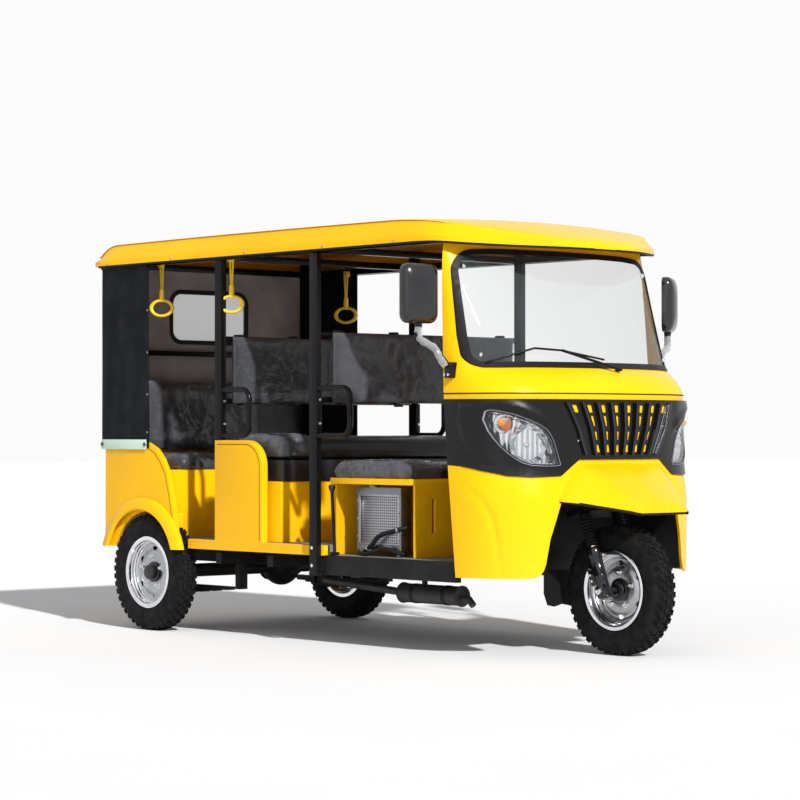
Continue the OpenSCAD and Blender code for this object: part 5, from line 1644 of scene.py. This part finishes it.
class TRICYCLE_OT_controls(bpy.types.Operator):
    """Make the handlebar with its gauge, levers and grips, and the floor controls"""
    bl_idname = "tricycle.controls"
    bl_label = "Controls"

    def execute(self, context):
        crisp("control_levers", "frame", 0.0012)
        crisp("wiper", "frame", 0.0010)
        crisp("front_bulkhead", "iron")
        grips, bright, face, knobs = bmesh.new(), bmesh.new(), bmesh.new(), bmesh.new()
        for side in (-1, 1):
            # Grip with ribs and a flange at its inner end.
            ribs = [(0.0120, 0.0), (0.0235, 0.0), (0.0235, 0.004), (0.0168, 0.006)]
            for i in range(13):
                y = 0.012 + i * 0.0076
                ribs += [(0.0164, y), (0.0172, y + 0.0014), (0.0172, y + 0.0044), (0.0164, y + 0.0058)]
            ribs += [(0.0175, 0.114), (0.0190, 0.117), (0.0190, 0.122), (0.0120, 0.122)]
            turned(grips, ribs, (0.0, side * 0.1960, 0.880), (0, side, 0), 28)
            sided_box(knobs, side, (-0.018, 0.128, 0.866), (0.026, 0.176, 0.900), 0.005, 3)
            peg(bright, (0.012, side * 0.160, 0.8995), (0.012, side * 0.160, 0.905), 0.005, 12, bevel=0.001)
        turned(face, [(0.0, 0.0), (0.036, 0.0), (0.036, 0.0015), (0.0, 0.0015)], (-0.014, 0.030, 0.9415),
               (-0.35, 0, 1), 40)
        turned(bright, [(0.0362, -0.001), (0.0402, -0.001), (0.0402, 0.004), (0.0372, 0.0055), (0.0362, 0.004)],
               (-0.014, 0.030, 0.9415), (-0.35, 0, 1), 40)
        for y in (-0.058, -0.040):
            peg(knobs, (0.0, y, 0.941), (0.0, y, 0.947), 0.005, 12, bevel=0.001)
        finish_piece("grips", steered(grips), "seal", "steering", ["handlebar_grips"], 30)
        finish_piece("switch_boxes", steered(knobs), "plastic", "steering", angle=30)
        finish_piece("gauge_face", steered(face), "gloss", "steering", angle=30)
        finish_piece("handlebar_bright", steered(bright), "chrome", "steering", angle=30)
        knob, pads = bmesh.new(), bmesh.new()
        turned(knob, [(0.0, -0.014), (0.0085, -0.013), (0.0100, -0.004), (0.0150, 0.006), (0.0155, 0.014),
                      (0.0120, 0.021), (0.0, 0.024)], (0.1055, -0.577, 0.686), (-0.07, 0, 1), 24)
        finish_piece("lever_knob", knob, "gloss")
        box_at(pads, (0.802, -0.118, 0.4645), (0.878, -0.062, 0.4700), 0.002)
        for i in range(6):
            box_at(pads, (0.808 + i * 0.0115, -0.115, 0.4695), (0.8135 + i * 0.0115, -0.065, 0.4725), 0.0008)
        finish_piece("pedal_pad", pads, "seal")
        return {"FINISHED"}


class TRICYCLE_OT_radiator(bpy.types.Operator):
    """Make the radiator with its perforated guard, tanks, cap and hoses"""
    bl_idname = "tricycle.radiator"
    bl_label = "Radiator"

    def execute(self, context):
        crisp("radiator", "fins", 0.003, 3)
        guard, trims, hoses, bright = bmesh.new(), bmesh.new(), bmesh.new(), bmesh.new()
        box_at(guard, (0.2405, -0.5215, 0.4515), (0.4855, -0.5155, 0.6665), 0.001)
        # Pressed rim round the guard, and the guard's folded edges.
        for x0, x1, z0, z1 in ((0.230, 0.496, 0.660, 0.670), (0.230, 0.496, 0.450, 0.458),
                               (0.230, 0.242, 0.458, 0.660), (0.484, 0.496, 0.458, 0.660)):
            box_at(trims, (x0, -0.5300, z0), (x1, -0.5216, z1), 0.002)
        turned(bright, [(0.0, 0.0), (0.0260, 0.0), (0.0260, 0.003), (0.0235, 0.0095), (0.0130, 0.0115),
                        (0.0, 0.0115)], (0.300, -0.498, 0.7001), UP, 28)
        for x in (0.226, 0.500):
            for z in (0.485, 0.562, 0.640):
                peg(bright, (x, -0.528, z), (x, -0.5325, z), 0.0052, 6, bevel=0.0006)
        hose(hoses, [(0.300, -0.528, 0.440), (0.318, -0.546, 0.436), (0.350, -0.556, 0.450), (0.385, -0.556, 0.482),
                     (0.425, -0.552, 0.500), (0.465, -0.546, 0.508), (0.500, -0.530, 0.520), (0.520, -0.500, 0.528)],
                     0.0105)
        hose(hoses, [(0.255, -0.545, 0.412), (0.310, -0.556, 0.410), (0.370, -0.558, 0.420), (0.430, -0.556, 0.436),
                     (0.480, -0.548, 0.424), (0.520, -0.520, 0.412)], 0.0085)
        for place, way in (((0.318, -0.546, 0.436), (0.7, -0.7, 0.1)), ((0.492, -0.534, 0.517), (1, 0.4, 0.3))):
            turned(bright, [(0.0106, -0.005), (0.0120, -0.005), (0.0120, 0.005), (0.0106, 0.005)], place, way, 24)
        finish_piece("radiator_guard", guard, "guard")
        finish_piece("radiator_rim", trims, "steel")
        finish_piece("radiator_hoses", hoses, "seal")
        finish_piece("radiator_bright", bright, "steel")
        return {"FINISHED"}


class TRICYCLE_OT_engine(bpy.types.Operator):
    """Make the engine with its cooling fins and covers, the exhaust and their fasteners"""
    bl_idname = "tricycle.engine"
    bl_label = "Engine"

    def execute(self, context):
        crisp("engine", "cast", 0.004, 3)
        crisp("exhaust", "muffler", 0.002)
        fins, bolts, bands = bmesh.new(), bmesh.new(), bmesh.new()
        lean = Matrix.Translation((-0.440, 0, 0.425)) @ Matrix.Rotation(math.radians(12), 4, "Y")
        for i in range(9):
            box_at(fins, (-0.069, -0.073, 0.014 + i * 0.0125), (0.069, 0.073, 0.0175 + i * 0.0125), 0.0008, 1)
        bmesh.ops.transform(fins, verts=fins.verts, matrix=lean)
        for i in range(7):
            angle = math.tau * i / 7
            for side in (-1, 1):
                place = Vector((-0.450 + 0.047 * math.cos(angle), side * 0.200, 0.350 + 0.047 * math.sin(angle)))
                peg(bolts, place, place + Vector((0, side * 0.005, 0)), 0.0055, 6, bevel=0.0006)
        for x in (0.470, 0.672):
            turned(bands, [(0.0422, -0.010), (0.0436, -0.010), (0.0436, 0.010), (0.0422, 0.010)], (x, -0.400, 0.238),
                   (1, 0, 0), 48)
        finish_piece("cylinder_fins", fins, "cast")
        finish_piece("engine_bolts", bolts, "steel")
        finish_piece("muffler_bands", bands, "iron")
        return {"FINISHED"}


class TRICYCLE_OT_running_gear(bpy.types.Operator):
    """Make the rear axle, the springs with their clamps, and the mud flap"""
    bl_idname = "tricycle.running_gear"
    bl_label = "Running gear"

    def execute(self, context):
        crisp("rear_axle", "iron", 0.003, 3)
        crisp("leaf_springs", "iron", 0.0012)
        clamps, nuts = bmesh.new(), bmesh.new()
        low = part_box("leaf_springs")[0]
        axle = REAR_RIGHT
        for side in (-1, 1):
            for x in (axle.x - 0.052, axle.x + 0.052):
                for y in (0.424, 0.486):
                    peg(clamps, (x, side * y, low.z - 0.012), (x, side * y, axle.z - 0.010), 0.0055, 10)
                    peg(nuts, (x, side * y, low.z - 0.010), (x, side * y, low.z - 0.002), 0.0095, 6)
            sided_box(clamps, side, (axle.x - 0.066, 0.417, low.z - 0.002), (axle.x + 0.066, 0.493, low.z + 0.004),
                      0.001)
        turned(nuts, [(0.0, 0.0), (0.070, 0.0), (0.070, 0.006), (0.064, 0.008), (0.0, 0.008)],
               (axle.x - 0.088, 0.165, axle.z), (-1, 0, 0), 36)
        finish_piece("spring_clamps", clamps, "iron")
        finish_piece("spring_nuts", nuts, "iron", angle=30)
        low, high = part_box("mud_flap")
        edge = [(-0.150, high.z), (-0.150, low.z + 0.060), (-0.128, low.z + 0.010), (-0.086, low.z + 0.002),
                (-0.040, low.z + 0.012), (0.010, low.z + 0.003), (0.060, low.z + 0.011), (0.112, low.z + 0.002),
                (0.146, low.z + 0.020), (0.150, high.z)]
        flap = prism(edge, low.x + 0.001, high.x - 0.0005)
        soften(finish_piece("mud_flap_rubber", flap, "seal", replaces=["mud_flap"]), 0.001, 2)
        return {"FINISHED"}


SCREW = [(0.0, 0.0), (0.0095, 0.0), (0.0095, 0.003), (0.006, 0.005), (0.0, 0.0055)]
SMALL_SCREW = [(0.0, 0.0), (0.0052, 0.0), (0.0048, 0.0022), (0.0025, 0.0034), (0.0, 0.0036)]


def cab_screw(bm, y, z, off, profile, steps):
    """A screw that stands square on the cab's skin."""
    place = on_cab(y, z, off)
    turned(bm, profile, place, place - on_cab(y, z, -0.004), steps)


class TRICYCLE_OT_fittings(bpy.types.Operator):
    """Make the screws of the cab and its mask, and the roof's bolts"""
    bl_idname = "tricycle.fittings"
    bl_label = "Fittings"

    def execute(self, context):
        screws, bolts = bmesh.new(), bmesh.new()
        for side in (-1, 1):
            for y, z in ((0.548, 1.640), (0.560, 1.262)):
                cab_screw(screws, side * y, z, 0.0060, SCREW, 20)
            for y, z in ((0.252, 0.905), (0.266, 0.965), (0.283, 1.025)):
                cab_screw(screws, side * y, z, 0.0055, SMALL_SCREW, 16)
        for side in (-1, 1):
            for x in (-1.46, -0.95, -0.40, 0.15, 0.62):
                row = between(ROOF_ROWS, x)
                place = Vector((x, side * (row[1] + 0.0003), row[3] + 0.011))
                turned(bolts, [(0.0, 0.0), (0.0052, 0.0), (0.0045, 0.0022), (0.0, 0.0032)], place, (0, side, 0), 14)
        finish_piece("cab_screws", screws, "chrome", angle=50)
        finish_piece("roof_bolts", bolts, "steel", angle=50)
        return {"FINISHED"}


class TRICYCLE_PT_panel(bpy.types.Panel):
    """Steps that build the tricycle's looks"""
    bl_label = "Tricycle"
    bl_idname = "TRICYCLE_PT_panel"
    bl_space_type = "VIEW_3D"
    bl_region_type = "UI"
    bl_category = "Tricycle"

    def draw(self, context):
        for group in ("tricycle_colours", "tricycle_wheels", "tricycle_stage"):
            settings = getattr(context.scene, group)
            for key in settings.__annotations__:
                self.layout.prop(settings, key)
        for step in STEPS:
            self.layout.operator(step.bl_idname)


GROUPS = {"tricycle_colours": TricycleColours, "tricycle_wheels": TricycleWheels, "tricycle_stage": TricycleStage}
STEPS = [TRICYCLE_OT_stage, TRICYCLE_OT_finishes, TRICYCLE_OT_tyres, TRICYCLE_OT_cab, TRICYCLE_OT_lamps,
         TRICYCLE_OT_grille, TRICYCLE_OT_roof, TRICYCLE_OT_mudguard, TRICYCLE_OT_rims, TRICYCLE_OT_fork,
         TRICYCLE_OT_mirrors, TRICYCLE_OT_seats, TRICYCLE_OT_backrests, TRICYCLE_OT_curtains, TRICYCLE_OT_rear_end,
         TRICYCLE_OT_loops, TRICYCLE_OT_panels, TRICYCLE_OT_frames, TRICYCLE_OT_controls, TRICYCLE_OT_radiator,
         TRICYCLE_OT_engine, TRICYCLE_OT_running_gear, TRICYCLE_OT_fittings]


def register():
    for kind in (*GROUPS.values(), *STEPS, TRICYCLE_PT_panel):
        bpy.utils.register_class(kind)
    for name, kind in GROUPS.items():
        setattr(bpy.types.Scene, name, PointerProperty(type=kind))


def unregister():
    for name in GROUPS:
        delattr(bpy.types.Scene, name)
    for kind in reversed((*GROUPS.values(), *STEPS, TRICYCLE_PT_panel)):
        bpy.utils.unregister_class(kind)


def main():
    register()
    for step in STEPS:
        group, action = step.bl_idname.split(".")
        getattr(getattr(bpy.ops, group), action)()


if __name__ == "__main__":
    main()
